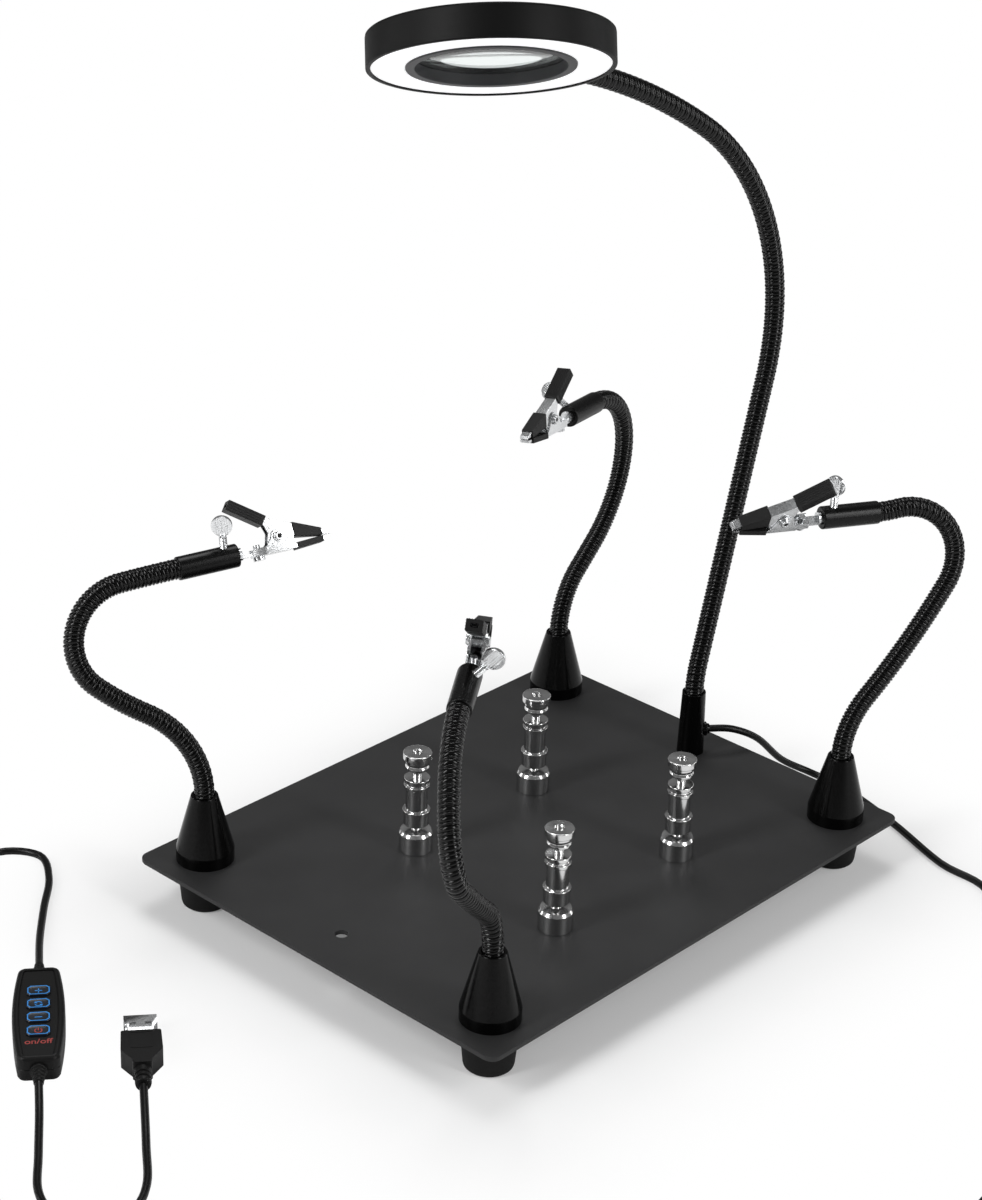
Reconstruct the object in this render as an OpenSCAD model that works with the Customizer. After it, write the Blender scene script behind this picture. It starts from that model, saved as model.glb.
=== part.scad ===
// Bench stand for holding a circuit board: a steel plate on rubber feet, four flexible arms with
// alligator clips, a magnifying ring lamp on a flexible neck, and four magnetic board pillars.
// Millimetres. The origin is the centre of the plate's top face, +Z is up, and +X is the plate's long way.

/* [Base plate] */
// Length of the steel plate, along X
plate_w = 240; // [200:1:320]
// Depth of the steel plate, along Y
plate_d = 188; // [160:1:260]
// Thickness of the steel plate
plate_t = 2; // [1.5:0.5:5]
// Radius of the plate's corners
plate_corner_r = 5; // [1:0.5:12]
// Distance from the plate's edges to the axis of each socket
socket_inset = 18.5; // [16:0.5:30]
// Bore of the spare hole in the middle of the plate's left side
spare_hole_d = 5; // [4:0.1:8]

/* [Feet] */
// Height of a rubber foot
foot_h = 18; // [12:0.5:30]
// Diameter of a foot where it meets the plate
foot_top_d = 22; // [18:0.5:28]
// Diameter of a foot where it meets the table
foot_base_d = 18.5; // [14:0.5:24]
// Radius of the foot's lower edge
foot_edge_r = 2.5; // [1:0.5:4]

/* [Arm sockets] */
// Height of a conical socket
socket_h = 28; // [22:0.5:40]
// Diameter of the socket's collar
socket_d = 22.6; // [18:0.2:28]
// Height of the straight collar
socket_collar_h = 5; // [2:0.5:10]
// Diameter of the socket's mouth
socket_top_d = 10.4; // [9.6:0.1:14]
// Depth to which a neck sits in its socket
socket_depth = 10; // [6:0.5:14]
// Thread diameter of the screws from below
screw_d = 5; // [4:0.5:6]

/* [Arm necks] */
// Outer diameter of every flexible neck
neck_d = 8; // [6:0.1:8.8]
// Length of a bent arm neck from the socket's mouth to the clamp tube
arm_neck_len = 140; // [110:1:180]

/* [Clamp tubes] */
// Outer diameter of a clamp tube
tube_d = 9; // [8:0.1:12]
// Length of a clamp tube
tube_len = 24; // [20:0.5:36]
// Bore that takes the clip's peg
tube_bore_d = 5; // [4:0.1:6]
// Thread diameter of the thumbscrew
thumb_d = 3; // [2.5:0.5:4]
// Distance from the tube's end to the thumbscrew
thumb_back = 5; // [4:0.5:9]
// Diameter of the thumbscrew's flat head
thumb_head_d = 8; // [6:0.2:8.4]
// Thickness of the thumbscrew's flat head
thumb_head_t = 1.8; // [1:0.1:2.4]
// Distance from the tube's axis to the middle of the thumbscrew's head
thumb_rise = 13.2; // [12:0.2:18]

/* [Alligator clips] */
// Length of a clip from the tube's end to the tip of its jaws
clip_len = 37; // [35:0.5:44]
// Width of a clip over its outer cheeks
clip_w = 6.2; // [5:0.1:10]
// Thickness of the clip's sheet steel
clip_sheet = 0.6; // [0.4:0.1:1]
// Length of the clip's handle
handle_len = 15; // [12:0.5:16]
// Rise of the handle from the clip's axis, in degrees
handle_rise = 36; // [32:1:42]
// Diameter of the clip's rivet
rivet_d = 2.2; // [1.6:0.1:3]
// Gap between the closed jaws at the tip
jaw_gap = 0.3; // [0.2:0.1:1]
// Wall of the soft sleeves on jaws and handle
sleeve_wall = 0.6; // [0.5:0.1:1]

/* [Magnetic pillars] */
// Height of a pillar
pillar_h = 43; // [38:0.5:60]
// Diameter of the pillar's magnetic base
pillar_base_d = 13.4; // [10:0.2:16]
// Diameter of the pillar's flat head
pillar_head_d = 11.2; // [10.2:0.2:14]

/* [Lamp neck] */
// Height of the lamp's post
post_h = 28; // [22:0.5:40]
// Diameter of the post at the plate
post_base_d = 11.2; // [11:0.1:16]
// Diameter of the post at its mouth
post_top_d = 9.8; // [9.6:0.1:14]
// Length of the lamp's bent neck from the post to the ring's swivel
lamp_neck_len = 337; // [280:1:400]

/* [Ring lamp] */
// Outer diameter of the ring
ring_d = 86; // [78:1:110]
// Height of the ring
ring_h = 12; // [10:0.5:18]
// Clear diameter of the magnifying lens
lens_view_d = 52.4; // [44:0.2:54]
// Wall of the ring's housing
ring_wall = 1.6; // [1:0.1:2.4]
// Thickness of the lens at its middle
lens_t = 4.6; // [3:0.1:5]

/* [Lamp cord and controller] */
// Diameter of the cord
cord_d = 3; // [2.5:0.1:3.6]
// Length of the controller's case
case_len = 58; // [52:0.5:70]
// Width of the controller's case at its middle
case_w = 19; // [16:0.5:24]
// Thickness of the controller's case
case_t = 10; // [9:0.5:14]
// Width of a button
button_w = 8.6; // [6:0.2:10]
// Length of a button
button_l = 6; // [5:0.2:6.6]
// Distance between buttons
button_pitch = 8.4; // [8:0.1:10]

/* [Hidden] */
$fn = 48;
FIT = 0.05;             // radial clearance of a turning fit
SLIDE = 0.2;            // side clearance of a sliding button
CLEAR = 0.2;            // radial clearance of a screw in a drilled hole
RIDGE = 0.2;            // a ridge on a neck is this much wider than the neck
BALL_GAP = 0.1;         // free space below the ball in a neck's bending place
EPS = 0.01;             // overlap that joins the shapes of one piece

POST_X = plate_w / 2 - socket_inset;
POST_Y = plate_d / 2 - socket_inset;
FLOOR_Z = -plate_t - foot_h;

// Each arm: name, [side along X, side along Y, direction of its bulge], turns of [its upper half, its
// clamp tube, its thumbscrew, its clip], then the bends of its two halves, each bend as [share of the
// neck's length, degrees].
ARMS = [
    ["front", [-1, -1, 206], [12, 50, -90, 12], [[0.18, 51], [0.29, -3]], [[0.19, -75], [0.34, -58]]],
    ["left", [-1, 1, 147], [16, 9, -24, -20], [[0.32, 60], [0.16, -11]], [[0.36, -132], [0.16, -2]]],
    ["right", [1, -1, -19.5], [-12, -8, -60, -34], [[0.19, 43], [0.39, -11.5]], [[0.36, -130], [0.06, 9]]],
    ["back", [1, 1, 10], [5, 62, -60, 12], [[0.21, 57], [0.11, -1]], [[0.32, -62], [0.36, -80]]],
];

LAMP_TURN = -4;          // direction of the lamp neck's bulge
RING_ROLL = 22.6;        // roll of the ring about the end of its neck
LAMP_LOWER = [[0.04, 13], [0.36, 0]];
LAMP_UPPER = [[0.38, -70], [0.22, -15]];
RING_STUB = 4;           // from the ring's swivel to the ring's outer wall

// Each magnetic pillar: name and place on the plate.
PILLARS = [["front", -41, -52], ["left", -38, 24], ["right", 32, -50], ["back", 30, 24]];

BUTTONS = ["brighter", "colour", "dimmer", "power"];

// The cord lies on the table, under the plate's level by the plate and the feet.
EXIT_TURN = -40;         // direction in which the cord leaves the post
EXIT_Z = 10;
GROMMET_OUT = 7.5;       // from the post's axis to the face of the cord's grommet
LEAD_TURN = -38.8;       // direction of the controller and the plug
CASE_AT = [-204, 50];
PLUG_AT = [-201, -3.8];  // where the cord enters the plug
RELIEF_LEN = 8;          // strain relief at each end of the case
GRIP_T = 8;              // thickness of the plug's grip
CORD_Z = FLOOR_Z + cord_d / 2;

// Where a cord meets the case, at the end on the given side.
function case_end(side) =
    let (reach = side * (case_len / 2 + RELIEF_LEN))
        [CASE_AT[0] - reach * sin(LEAD_TURN), CASE_AT[1] + reach * cos(LEAD_TURN), FLOOR_Z + case_t / 2];

CORD_START = [POST_X + GROMMET_OUT * cos(EXIT_TURN), GROMMET_OUT * sin(EXIT_TURN), EXIT_Z];
LAMP_CORD = concat(
    [CORD_START, [115, -11, 9.3], [125, -17, 3.5], [138, -21, -10], [149, -29, -17.5]],
    [for (at = [
        [150, -46], [141, -78], [129, -110], [124.5, -136], [92, -164], [40, -199], [-10, -233],
        [-44, -246.5], [-153, -246.5], [-261, -246], [-261, -219], [-183, -219], [-106, -219],
        [-106, -192], [-183, -192], [-261, -192], [-261, -165], [-161, -165], [-161, -138],
        [-240, -138], [-270, -112], [-274, -68], [-276, -24], [-268, 6], [-232, 66], [-178, 140],
        [-157, 155], [-138, 158], [-128, 145], [-136, 129], [-151, 113.5],
    ]) [at[0], at[1], CORD_Z]],
    [[-167, 96, -17.5], case_end(1)]
);
PLUG_CORD = concat(
    [case_end(-1), [-236, 10, -17.5]],
    [for (at = [
        [-250, -7], [-262, -22], [-265.5, -35], [-259, -47], [-246, -51], [-234, -44], [-221, -28.5],
    ]) [at[0], at[1], CORD_Z]],
    [[-210, -15, -17], [PLUG_AT[0], PLUG_AT[1], FLOOR_Z + GRIP_T / 2]]
);

ARM_PIECES = [
    "neck_lower", "neck_upper", "clamp_tube", "thumbscrew", "lower_jaw", "upper_jaw",
    "lower_sleeve", "upper_sleeves", "clip_fittings",
];

// ---------- Lines and curves ----------

// Height of the straight line from a to b, at the place u along it.
function line_at(a, b, u) = a[1] + (b[1] - a[1]) * (u - a[0]) / (b[0] - a[0]);

// Place where a bend ends: it starts at the origin, runs along +Z and turns towards +X.
function bend_end(length, turn) =
    turn == 0 ? [0, 0, length]
              : let (r = length * 180 / (PI * turn)) [r * (1 - cos(turn)), 0, r * sin(turn)];

// Moves its children to the end of a row of bends, with +Z along the neck there.
module at_end(bends, total, i = 0) {
    if (i == len(bends)) {
        children();
    } else {
        translate(bend_end(bends[i][0] * total, bends[i][1]))
            rotate([0, bends[i][1], 0])
                at_end(bends, total, i + 1) children();
    }
}

// One bend of round rod, as a cylinder or a part of a ring.
module rod_bend(d, length, turn) {
    r = turn == 0 ? 0 : length * 180 / (PI * turn);
    if (turn == 0)
        cylinder(d = d, h = length);
    else
        translate([r, 0, 0])
            rotate([turn > 0 ? -90 : 90, 0, 0])
                rotate([0, 0, turn > 0 ? 180 : 0])
                    rotate_extrude(angle = abs(turn)) translate([abs(r), 0]) circle(d = d);
}

// A row of bends of round rod, with a low ridge where two bends meet.
module rod_bends(d, bends, total) {
    for (i = [0 : len(bends) - 1])
        at_end([for (j = [0 : i]) if (j < i) bends[j]], total) {
            rod_bend(d, bends[i][0] * total, bends[i][1]);
            if (i > 0) cylinder(d = d + RIDGE, h = 1, center = true);
        }
}

// The same row of bends with a piece cut off its end.
function shortened(bends, total, cut) = [
    for (i = [0 : len(bends) - 1])
        let (share = bends[i][0], rest = share - cut / total)
            i < len(bends) - 1 ? bends[i] : [rest, bends[i][1] * rest / share]
];

// Point of a smooth curve through p1 and p2, at t from 0 to 1, with its neighbours p0 and p3.
function curve_point(p0, p1, p2, p3, t) =
    0.5 * (2 * p1 + (p2 - p0) * t + (2 * p0 - 5 * p1 + 4 * p2 - p3) * t ^ 2
           + (3 * p1 - p0 - 3 * p2 + p3) * t ^ 3);

// Smooth curve through all the points of a route, with the given number of steps between two.
function curve(route, steps) = let (last = len(route) - 1) [
    for (i = [0 : last - 1], s = [0 : steps - 1])
        curve_point(route[max(i - 1, 0)], route[i], route[i + 1], route[min(i + 2, last)], s / steps),
    route[last],
];

function unit(v) = v / norm(v);

// A round tube swept along a route, square to it at each ring.
module swept_cord(route, d, sides = 8, steps = 2) {
    line = curve(route, steps);
    last = len(line) - 1;
    rings = [
        for (i = [0 : last])
            let (
                along = unit(line[min(i + 1, last)] - line[max(i - 1, 0)]),
                across = unit(cross([0, 0, 1], along)),
                up = cross(along, across)
            )
            for (k = [0 : sides - 1])
                let (a = 360 * (k + 0.5) / sides)
                    line[i] + d / 2 * (cos(a) * across + sin(a) * up)
    ];
    sleeve = [
        for (i = [0 : last - 1], k = [0 : sides - 1])
            let (a = i * sides + k, b = i * sides + (k + 1) % sides)
                [a, a + sides, b + sides, b]
    ];
    ends = [
        [for (k = [0 : sides - 1]) k],
        [for (k = [0 : sides - 1]) last * sides + sides - 1 - k],
    ];
    polyhedron(rings, concat(sleeve, ends), convexity = 10);
}

// ---------- Base ----------

module at_corners() {
    for (x = [-1, 1], y = [-1, 1])
        translate([x * POST_X, y * POST_Y, 0]) children();
}

module at_lamp_post() {
    translate([POST_X, 0, 0]) children();
}

module plate_outline() {
    r = plate_corner_r;
    square([plate_w - 2 * r, plate_d], center = true);
    square([plate_w, plate_d - 2 * r], center = true);
    for (x = [-1, 1], y = [-1, 1])
        translate([x * (plate_w / 2 - r), y * (plate_d / 2 - r)]) circle(r = r);
}

module base_plate() {
    color("#333435") difference() {
        translate([0, 0, -plate_t]) linear_extrude(plate_t) plate_outline();
        at_corners() through_plate(screw_d + 2 * CLEAR);
        at_lamp_post() through_plate(screw_d + 2 * CLEAR);
        translate([-POST_X, 0, 0]) through_plate(spare_hole_d);
    }
}

module through_plate(d) {
    translate([0, 0, -plate_t - 1]) cylinder(d = d, h = plate_t + 2);
}

SCREW_HEAD_D = 1.8 * screw_d;
SCREW_HEAD_H = 0.6 * screw_d;
FOOT_RECESS = SCREW_HEAD_H + 3;     // the screw's head stays above the table
SCREW_IN = 9;                       // length of thread inside a socket

module foot_profile() {
    r = foot_edge_r;
    top = -plate_t;
    polygon([
        [0, top], [foot_top_d / 2, top], [foot_base_d / 2, FLOOR_Z + r],
        [foot_base_d / 2 - r, FLOOR_Z + r], [foot_base_d / 2 - r, FLOOR_Z], [0, FLOOR_Z],
    ]);
    translate([foot_base_d / 2 - r, FLOOR_Z + r]) circle(r = r);
}

module rubber_feet() {
    color("#17181a") at_corners() difference() {
        rotate_extrude() foot_profile();
        translate([0, 0, FLOOR_Z - 1]) cylinder(d = screw_d + 2 * CLEAR, h = foot_h + 2);
        translate([0, 0, FLOOR_Z - 1]) cylinder(d = SCREW_HEAD_D + 1, h = FOOT_RECESS + 1);
    }
}

// A pan-head screw that points up, with its head's upper face at z.
module screw_up(z) {
    translate([0, 0, z - SCREW_HEAD_H]) difference() {
        cylinder(d = SCREW_HEAD_D, h = SCREW_HEAD_H);
        translate([0, 0, -EPS]) cylinder(d = 0.55 * screw_d, h = 0.6 * SCREW_HEAD_H, $fn = 6);
    }
    translate([0, 0, z - EPS]) cylinder(d = screw_d, h = SCREW_IN - z + EPS);
}

module foot_screws() {
    color("#8d9094") {
        at_corners() screw_up(FLOOR_Z + FOOT_RECESS);
        at_lamp_post() screw_up(-plate_t);
    }
}

// A turned socket: a collar, a taper up to the mouth, a bore for the neck and a thread below.
module socket(base_d, top_d, collar, height, depth) {
    difference() {
        rotate_extrude() polygon([
            [0, 0], [base_d / 2, 0], [base_d / 2, collar], [top_d / 2, height], [0, height],
        ]);
        translate([0, 0, height - depth]) cylinder(d = neck_d + 2 * FIT, h = depth + 1);
        translate([0, 0, -1]) cylinder(d = screw_d, h = SCREW_IN + 1.5);
    }
}

module arm_sockets() {
    color("#101012") at_corners()
        socket(socket_d, socket_top_d, socket_collar_h, socket_h, socket_depth);
}

// ---------- Arms ----------

SEAT_GAP = 0.5;          // free space below a neck's end in its bore

// Place of an arm's neck where it leaves the socket, with +X along the bulge.
module at_mouth(arm) {
    place = arm[1];
    translate([place[0] * POST_X, place[1] * POST_Y, socket_h]) rotate([0, 0, place[2]]) children();
}

// The place at which an arm's neck bends.
module at_bend(arm) {
    at_mouth(arm) at_end(arm[3], arm_neck_len) rotate([0, 0, arm[2][0]]) children();
}

// The open end of an arm's clamp tube, with +Z out of the tube and +X towards the thumbscrew.
module at_tube(arm) {
    at_bend(arm) at_end(arm[4], arm_neck_len) translate([0, 0, tube_len])
        rotate([0, 0, arm[2][1]]) children();
}

// The same place with +X towards the clip's handle.
module at_clip(arm) {
    at_tube(arm) rotate([0, 0, arm[2][3] - arm[2][1]]) children();
}

BALL_D = neck_d - 0.2;

// The lower half of a neck: it turns in its socket and ends just below the ball.
module lower_neck(bends, total, depth) {
    rod_bends(neck_d, shortened(bends, total, BALL_D / 2 + BALL_GAP), total);
    translate([0, 0, SEAT_GAP - depth]) cylinder(d = neck_d, h = depth - SEAT_GAP);
    translate([0, 0, 0.5]) cylinder(d = neck_d + RIDGE, h = 1, center = true);
}

// The upper half of a neck: it starts with the ball.
module upper_neck(bends, total) {
    sphere(d = BALL_D);
    rod_bends(neck_d, bends, total);
}

SPIGOT_LEN = 8;          // thin end of the neck in the clamp tube

module arm_neck_lower(arm) {
    color("#0c0c0d") at_mouth(arm) lower_neck(arm[3], arm_neck_len, socket_depth);
}

module arm_neck_upper(arm) {
    color("#0c0c0d") at_bend(arm) {
        upper_neck(arm[4], arm_neck_len);
        at_end(arm[4], arm_neck_len)
            translate([0, 0, -EPS]) cylinder(d = tube_bore_d, h = SPIGOT_LEN + EPS);
    }
}

TUBE_CHAMFER = 0.6;

module arm_clamp_tube(arm) {
    r = tube_d / 2;
    c = TUBE_CHAMFER;
    color("#151517") at_tube(arm) difference() {
        translate([0, 0, -tube_len]) rotate_extrude() polygon([
            [tube_bore_d / 2, 0], [r - c, 0], [r, c], [r, tube_len - c], [r - c, tube_len],
            [tube_bore_d / 2, tube_len],
        ]);
        translate([0, 0, -thumb_back]) rotate([0, 90, 0]) cylinder(d = thumb_d + 2 * FIT, h = tube_d);
    }
}

PEG_D = tube_bore_d - 2 * FIT;
PEG_LEN = tube_len - SPIGOT_LEN - 2;

// The thumbscrew stands on the clip's peg and its flat head is turned about its own axis.
module arm_thumbscrew(arm) {
    start = PEG_D / 2 + FIT;
    color("#c9ccd0") at_tube(arm)
        translate([0, 0, -thumb_back]) rotate([0, 90, 0]) rotate([0, 0, arm[2][2]]) {
            translate([0, 0, start]) cylinder(d = thumb_d, h = thumb_rise - thumb_head_d / 2 + 1 - start);
            translate([0, thumb_head_t / 2, thumb_rise]) rotate([90, 0, 0])
                cylinder(d = thumb_head_d, h = thumb_head_t);
        }
}

// A clip is drawn from the side: u runs from the tube's end to the jaws' tip, v is up.
PIVOT = [16.7, 3.4];                        // the rivet
JAW_ROOT = 22.7;                            // where the cheeks end and the jaws start
CHEEK_REAR = [PIVOT[0] - 2.7, PIVOT[1] + 7.6];
CHEEK_FRONT = [JAW_ROOT, PIVOT[1] + 3.7];
HANDLE_T = 3;                               // depth of the handle's channel
HANDLE_END = CHEEK_REAR + handle_len * [-cos(handle_rise), sin(handle_rise)];
HANDLE_DROP = HANDLE_T * [-sin(handle_rise), -cos(handle_rise)];
TIP_H = 1.3;                                // height of each jaw at its tip
UPPER_TIP = [clip_len, jaw_gap / 2];
UPPER_BITE = [JAW_ROOT, 2.4];
LOWER_TIP = [clip_len, -jaw_gap / 2];
LOWER_BITE = [JAW_ROOT, -0.9];
CLIP_FLOOR = -2.4;                          // underside of the lower half
TAIL_REAR = 5.5;
TOOTH = 1;                                  // pitch of the teeth
TOOTH_DEPTH = 0.35;
OUTER_HALF = clip_w / 2;
INNER_HALF = OUTER_HALF - clip_sheet - 2 * FIT;
TIP_HALF = 1.8;                             // half width of the jaws at their tip
TAIL_HALF = 2.6;                            // half width of the lower half behind its cheeks
CHEEK_R = 3;                                // of the lower half's rounded cheeks, round the rivet

// Row of teeth from the tip back to the root, cut into the jaw on the given side.
function teeth(tip, bite, side) = [
    for (i = [0 : floor((tip[0] - bite[0]) / TOOTH) - 1])
        for (step = [[0, 0], [0.5, side * TOOTH_DEPTH]])
            let (u = tip[0] - (i + step[0]) * TOOTH)
                [u, line_at(bite, tip, u) + step[1]]
];

UPPER_SIDE = concat(
    [HANDLE_END + HANDLE_DROP, HANDLE_END, CHEEK_REAR, CHEEK_FRONT, UPPER_TIP + [-0.6, TIP_H]],
    teeth(UPPER_TIP, UPPER_BITE, 1),
    [UPPER_BITE, [JAW_ROOT - 0.6, -0.6], [PIVOT[0] - 3.5, -0.6], [PIVOT[0] - 4.7, 1.5]],
    [[PIVOT[0] - 3.5, 5.4], CHEEK_REAR + HANDLE_DROP]
);

LOWER_SIDE = concat(
    [[TAIL_REAR, 0.6], [TAIL_REAR, CLIP_FLOOR], [21, CLIP_FLOOR], LOWER_TIP - [0.6, TIP_H]],
    teeth(LOWER_TIP, LOWER_BITE, -1),
    [LOWER_BITE, [21, 0.5]],
    [for (turn = [0 : 30 : 180]) PIVOT + CHEEK_R * [cos(turn), sin(turn)]],
    [[11.2, 0.6]]
);

// Inside of the folded sheet, open downwards in the upper half and upwards in the lower half.
UPPER_HOLLOW = [
    HANDLE_END + [-6 * cos(handle_rise), 6 * sin(handle_rise)] - sheet_drop(handle_rise),
    CHEEK_REAR - sheet_drop(handle_rise) * 1.05, CHEEK_FRONT - [0.2, clip_sheet * 1.15],
    UPPER_TIP + [-0.9, TIP_H - clip_sheet], UPPER_TIP + [-0.9, -9], [-9, -9],
];
LOWER_HOLLOW = [
    [TAIL_REAR - 1, 9], [TAIL_REAR - 1, CLIP_FLOOR + clip_sheet], [21, CLIP_FLOOR + clip_sheet],
    LOWER_TIP - [0.9, TIP_H - clip_sheet], LOWER_TIP + [-0.9, 9],
];
function sheet_drop(slope) = clip_sheet * [sin(slope), cos(slope)];

// Plan outline of a half: wider at its cheeks than behind them, and narrowing from them to the tip.
function clip_plan(rear, root, tip) = [
    [-9, -rear], [CHEEK_REAR[0] - 4, -rear], [CHEEK_REAR[0] - 3, -root], [JAW_ROOT, -root],
    [clip_len + 1, -tip], [clip_len + 1, tip], [JAW_ROOT, root], [CHEEK_REAR[0] - 3, root],
    [CHEEK_REAR[0] - 4, rear], [-9, rear],
];

// Puts a side view [u, v] into an arm's clip, thick across the clip.
module clip_side(points, half) {
    multmatrix([[0, 1, 0, 0], [0, 0, 1, 0], [1, 0, 0, 0], [0, 0, 0, 1]])
        translate([0, 0, -half]) linear_extrude(2 * half) polygon(points);
}

// Puts a plan view [u, w] into an arm's clip, high enough for every piece.
module clip_top(points) {
    multmatrix([[0, 0, -1, 30], [0, 1, 0, 0], [1, 0, 0, 0], [0, 0, 0, 1]])
        linear_extrude(60) polygon(points);
}

// A bored hole across the clip at [u, v].
module across_clip(at, d, half) {
    translate([at[1], half, at[0]]) rotate([90, 0, 0]) cylinder(d = d, h = 2 * half);
}

module folded_half(side, hollow, root, rear) {
    difference() {
        intersection() {
            clip_side(side, root + 1);
            clip_top(clip_plan(rear, root, TIP_HALF));
        }
        intersection() {
            clip_side(hollow, root);
            clip_top(clip_plan(rear - clip_sheet, root - clip_sheet, TIP_HALF - clip_sheet));
        }
        across_clip(PIVOT, rivet_d + 2 * FIT, root + 1);
    }
}

TERMINAL_U = 8;          // the screw that holds the clip on its peg
TERMINAL_D = 2.6;

module arm_upper_jaw(arm) {
    color("#c6c8ca") at_clip(arm)
        folded_half(UPPER_SIDE, UPPER_HOLLOW, INNER_HALF, INNER_HALF);
}

module arm_lower_jaw(arm) {
    color("#c6c8ca") at_clip(arm) difference() {
        folded_half(LOWER_SIDE, LOWER_HOLLOW, OUTER_HALF, TAIL_HALF);
        translate([-9, 0, TERMINAL_U]) rotate([0, 90, 0]) cylinder(d = TERMINAL_D + 0.2, h = 9);
    }
}

SLEEVE_FROM = JAW_ROOT + 0.4;
SLEEVE_TO = clip_len - 3;
BITE_WALL = 0.4;         // the sleeves are thinner where the jaws meet

// A soft sleeve round a jaw: back is the jaw's outer line, bite its inner line, side its outer side.
module jaw_sleeve(back_a, back_b, bite_a, bite_b, side, root) {
    from = SLEEVE_FROM;
    to = SLEEVE_TO;
    wall = side * sleeve_wall;
    thin = side * BITE_WALL;
    difference() {
        intersection() {
            clip_side([
                [from, line_at(back_a, back_b, from) + wall], [to, line_at(back_a, back_b, to) + wall],
                [to, line_at(bite_a, bite_b, to) - thin], [from, line_at(bite_a, bite_b, from) - thin],
            ], root + 2);
            clip_top(clip_plan(root + sleeve_wall, root + sleeve_wall, TIP_HALF + sleeve_wall));
        }
        intersection() {
            clip_side([
                [from - 1, line_at(back_a, back_b, from - 1)], [to + 1, line_at(back_a, back_b, to + 1)],
                [to + 1, line_at(bite_a, bite_b, to + 1)], [from - 1, line_at(bite_a, bite_b, from - 1)],
            ], root + 1);
            clip_top(clip_plan(root, root, TIP_HALF));
        }
    }
}

module arm_lower_sleeve(arm) {
    color("#1b1b1c") at_clip(arm)
        jaw_sleeve([21, CLIP_FLOOR], LOWER_TIP - [0.6, TIP_H], LOWER_BITE, LOWER_TIP, -1, OUTER_HALF);
}

SLEEVE_END_T = 0.9;      // end wall of the handle's sleeve
SLEEVE_SLOT = [2.8, 1.4];  // across and high, in that wall

// Puts its children on the handle: +X along it to its end, +Z from its top into its channel.
module on_handle() {
    multmatrix([
        [sin(handle_rise), 0, -cos(handle_rise), CHEEK_REAR[1]],
        [0, -1, 0, 0],
        [-cos(handle_rise), 0, -sin(handle_rise), CHEEK_REAR[0]],
        [0, 0, 0, 1],
    ]) children();
}

module handle_sleeve() {
    wall = sleeve_wall;
    half = INNER_HALF + wall;
    slot = SLEEVE_SLOT;
    on_handle() difference() {
        translate([wall, -half, -wall])
            cube([handle_len + SLEEVE_END_T - wall, 2 * half, HANDLE_T + 2 * wall]);
        translate([-1, -INNER_HALF, 0]) cube([handle_len + 1, 2 * INNER_HALF, HANDLE_T]);
        translate([1, -slot[0] / 2, (HANDLE_T - slot[1]) / 2]) cube([handle_len + 1, slot[0], slot[1]]);
    }
}

module arm_upper_sleeves(arm) {
    color("#1b1b1c") at_clip(arm) {
        jaw_sleeve(CHEEK_FRONT, UPPER_TIP + [-0.6, TIP_H], UPPER_BITE, UPPER_TIP, 1, INNER_HALF);
        handle_sleeve();
    }
}

RIVET_HEAD = 0.6;
SPRING_D = 5;
TAIL_INSIDE = TAIL_HALF - clip_sheet;

// The rivet, the spring round it, the peg that enters the clamp tube, and the terminal's screw.
module arm_clip_fittings(arm) {
    tongue_v = CLIP_FLOOR + clip_sheet;
    tongue_t = 1;
    color("#a9acb0") at_clip(arm) {
        across_clip(PIVOT, rivet_d, OUTER_HALF + FIT);
        for (side = [-1, 1])
            translate([PIVOT[1], side * (OUTER_HALF + FIT + RIVET_HEAD / 2), PIVOT[0]])
                rotate([90, 0, 0]) cylinder(d = rivet_d + 2, h = RIVET_HEAD + EPS, center = true);
        difference() {
            across_clip(PIVOT, SPRING_D, INNER_HALF - clip_sheet - FIT);
            across_clip(PIVOT, rivet_d + 0.4, INNER_HALF);
        }
        difference() {
            union() {
                translate([0, 0, -PEG_LEN]) cylinder(d = PEG_D, h = PEG_LEN + 1.5);
                translate([tongue_v, FIT - TAIL_INSIDE, 2 * FIT])
                    cube([tongue_t, 2 * (TAIL_INSIDE - FIT), 11.4]);
            }
            translate([-9, 0, TERMINAL_U]) rotate([0, 90, 0]) cylinder(d = TERMINAL_D + 0.2, h = 18);
        }
        translate([CLIP_FLOOR, 0, TERMINAL_U]) rotate([0, 90, 0]) {
            translate([0, 0, -1.5]) cylinder(d = 4.6, h = 1.5);
            translate([0, 0, -EPS]) cylinder(d = TERMINAL_D, h = 4.4);
        }
    }
}

module arm_piece(arm, piece) {
    if (piece == "neck_lower") arm_neck_lower(arm);
    if (piece == "neck_upper") arm_neck_upper(arm);
    if (piece == "clamp_tube") arm_clamp_tube(arm);
    if (piece == "thumbscrew") arm_thumbscrew(arm);
    if (piece == "lower_jaw") arm_lower_jaw(arm);
    if (piece == "upper_jaw") arm_upper_jaw(arm);
    if (piece == "lower_sleeve") arm_lower_sleeve(arm);
    if (piece == "upper_sleeves") arm_upper_sleeves(arm);
    if (piece == "clip_fittings") arm_clip_fittings(arm);
}

// ---------- Magnetic pillars ----------

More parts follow.
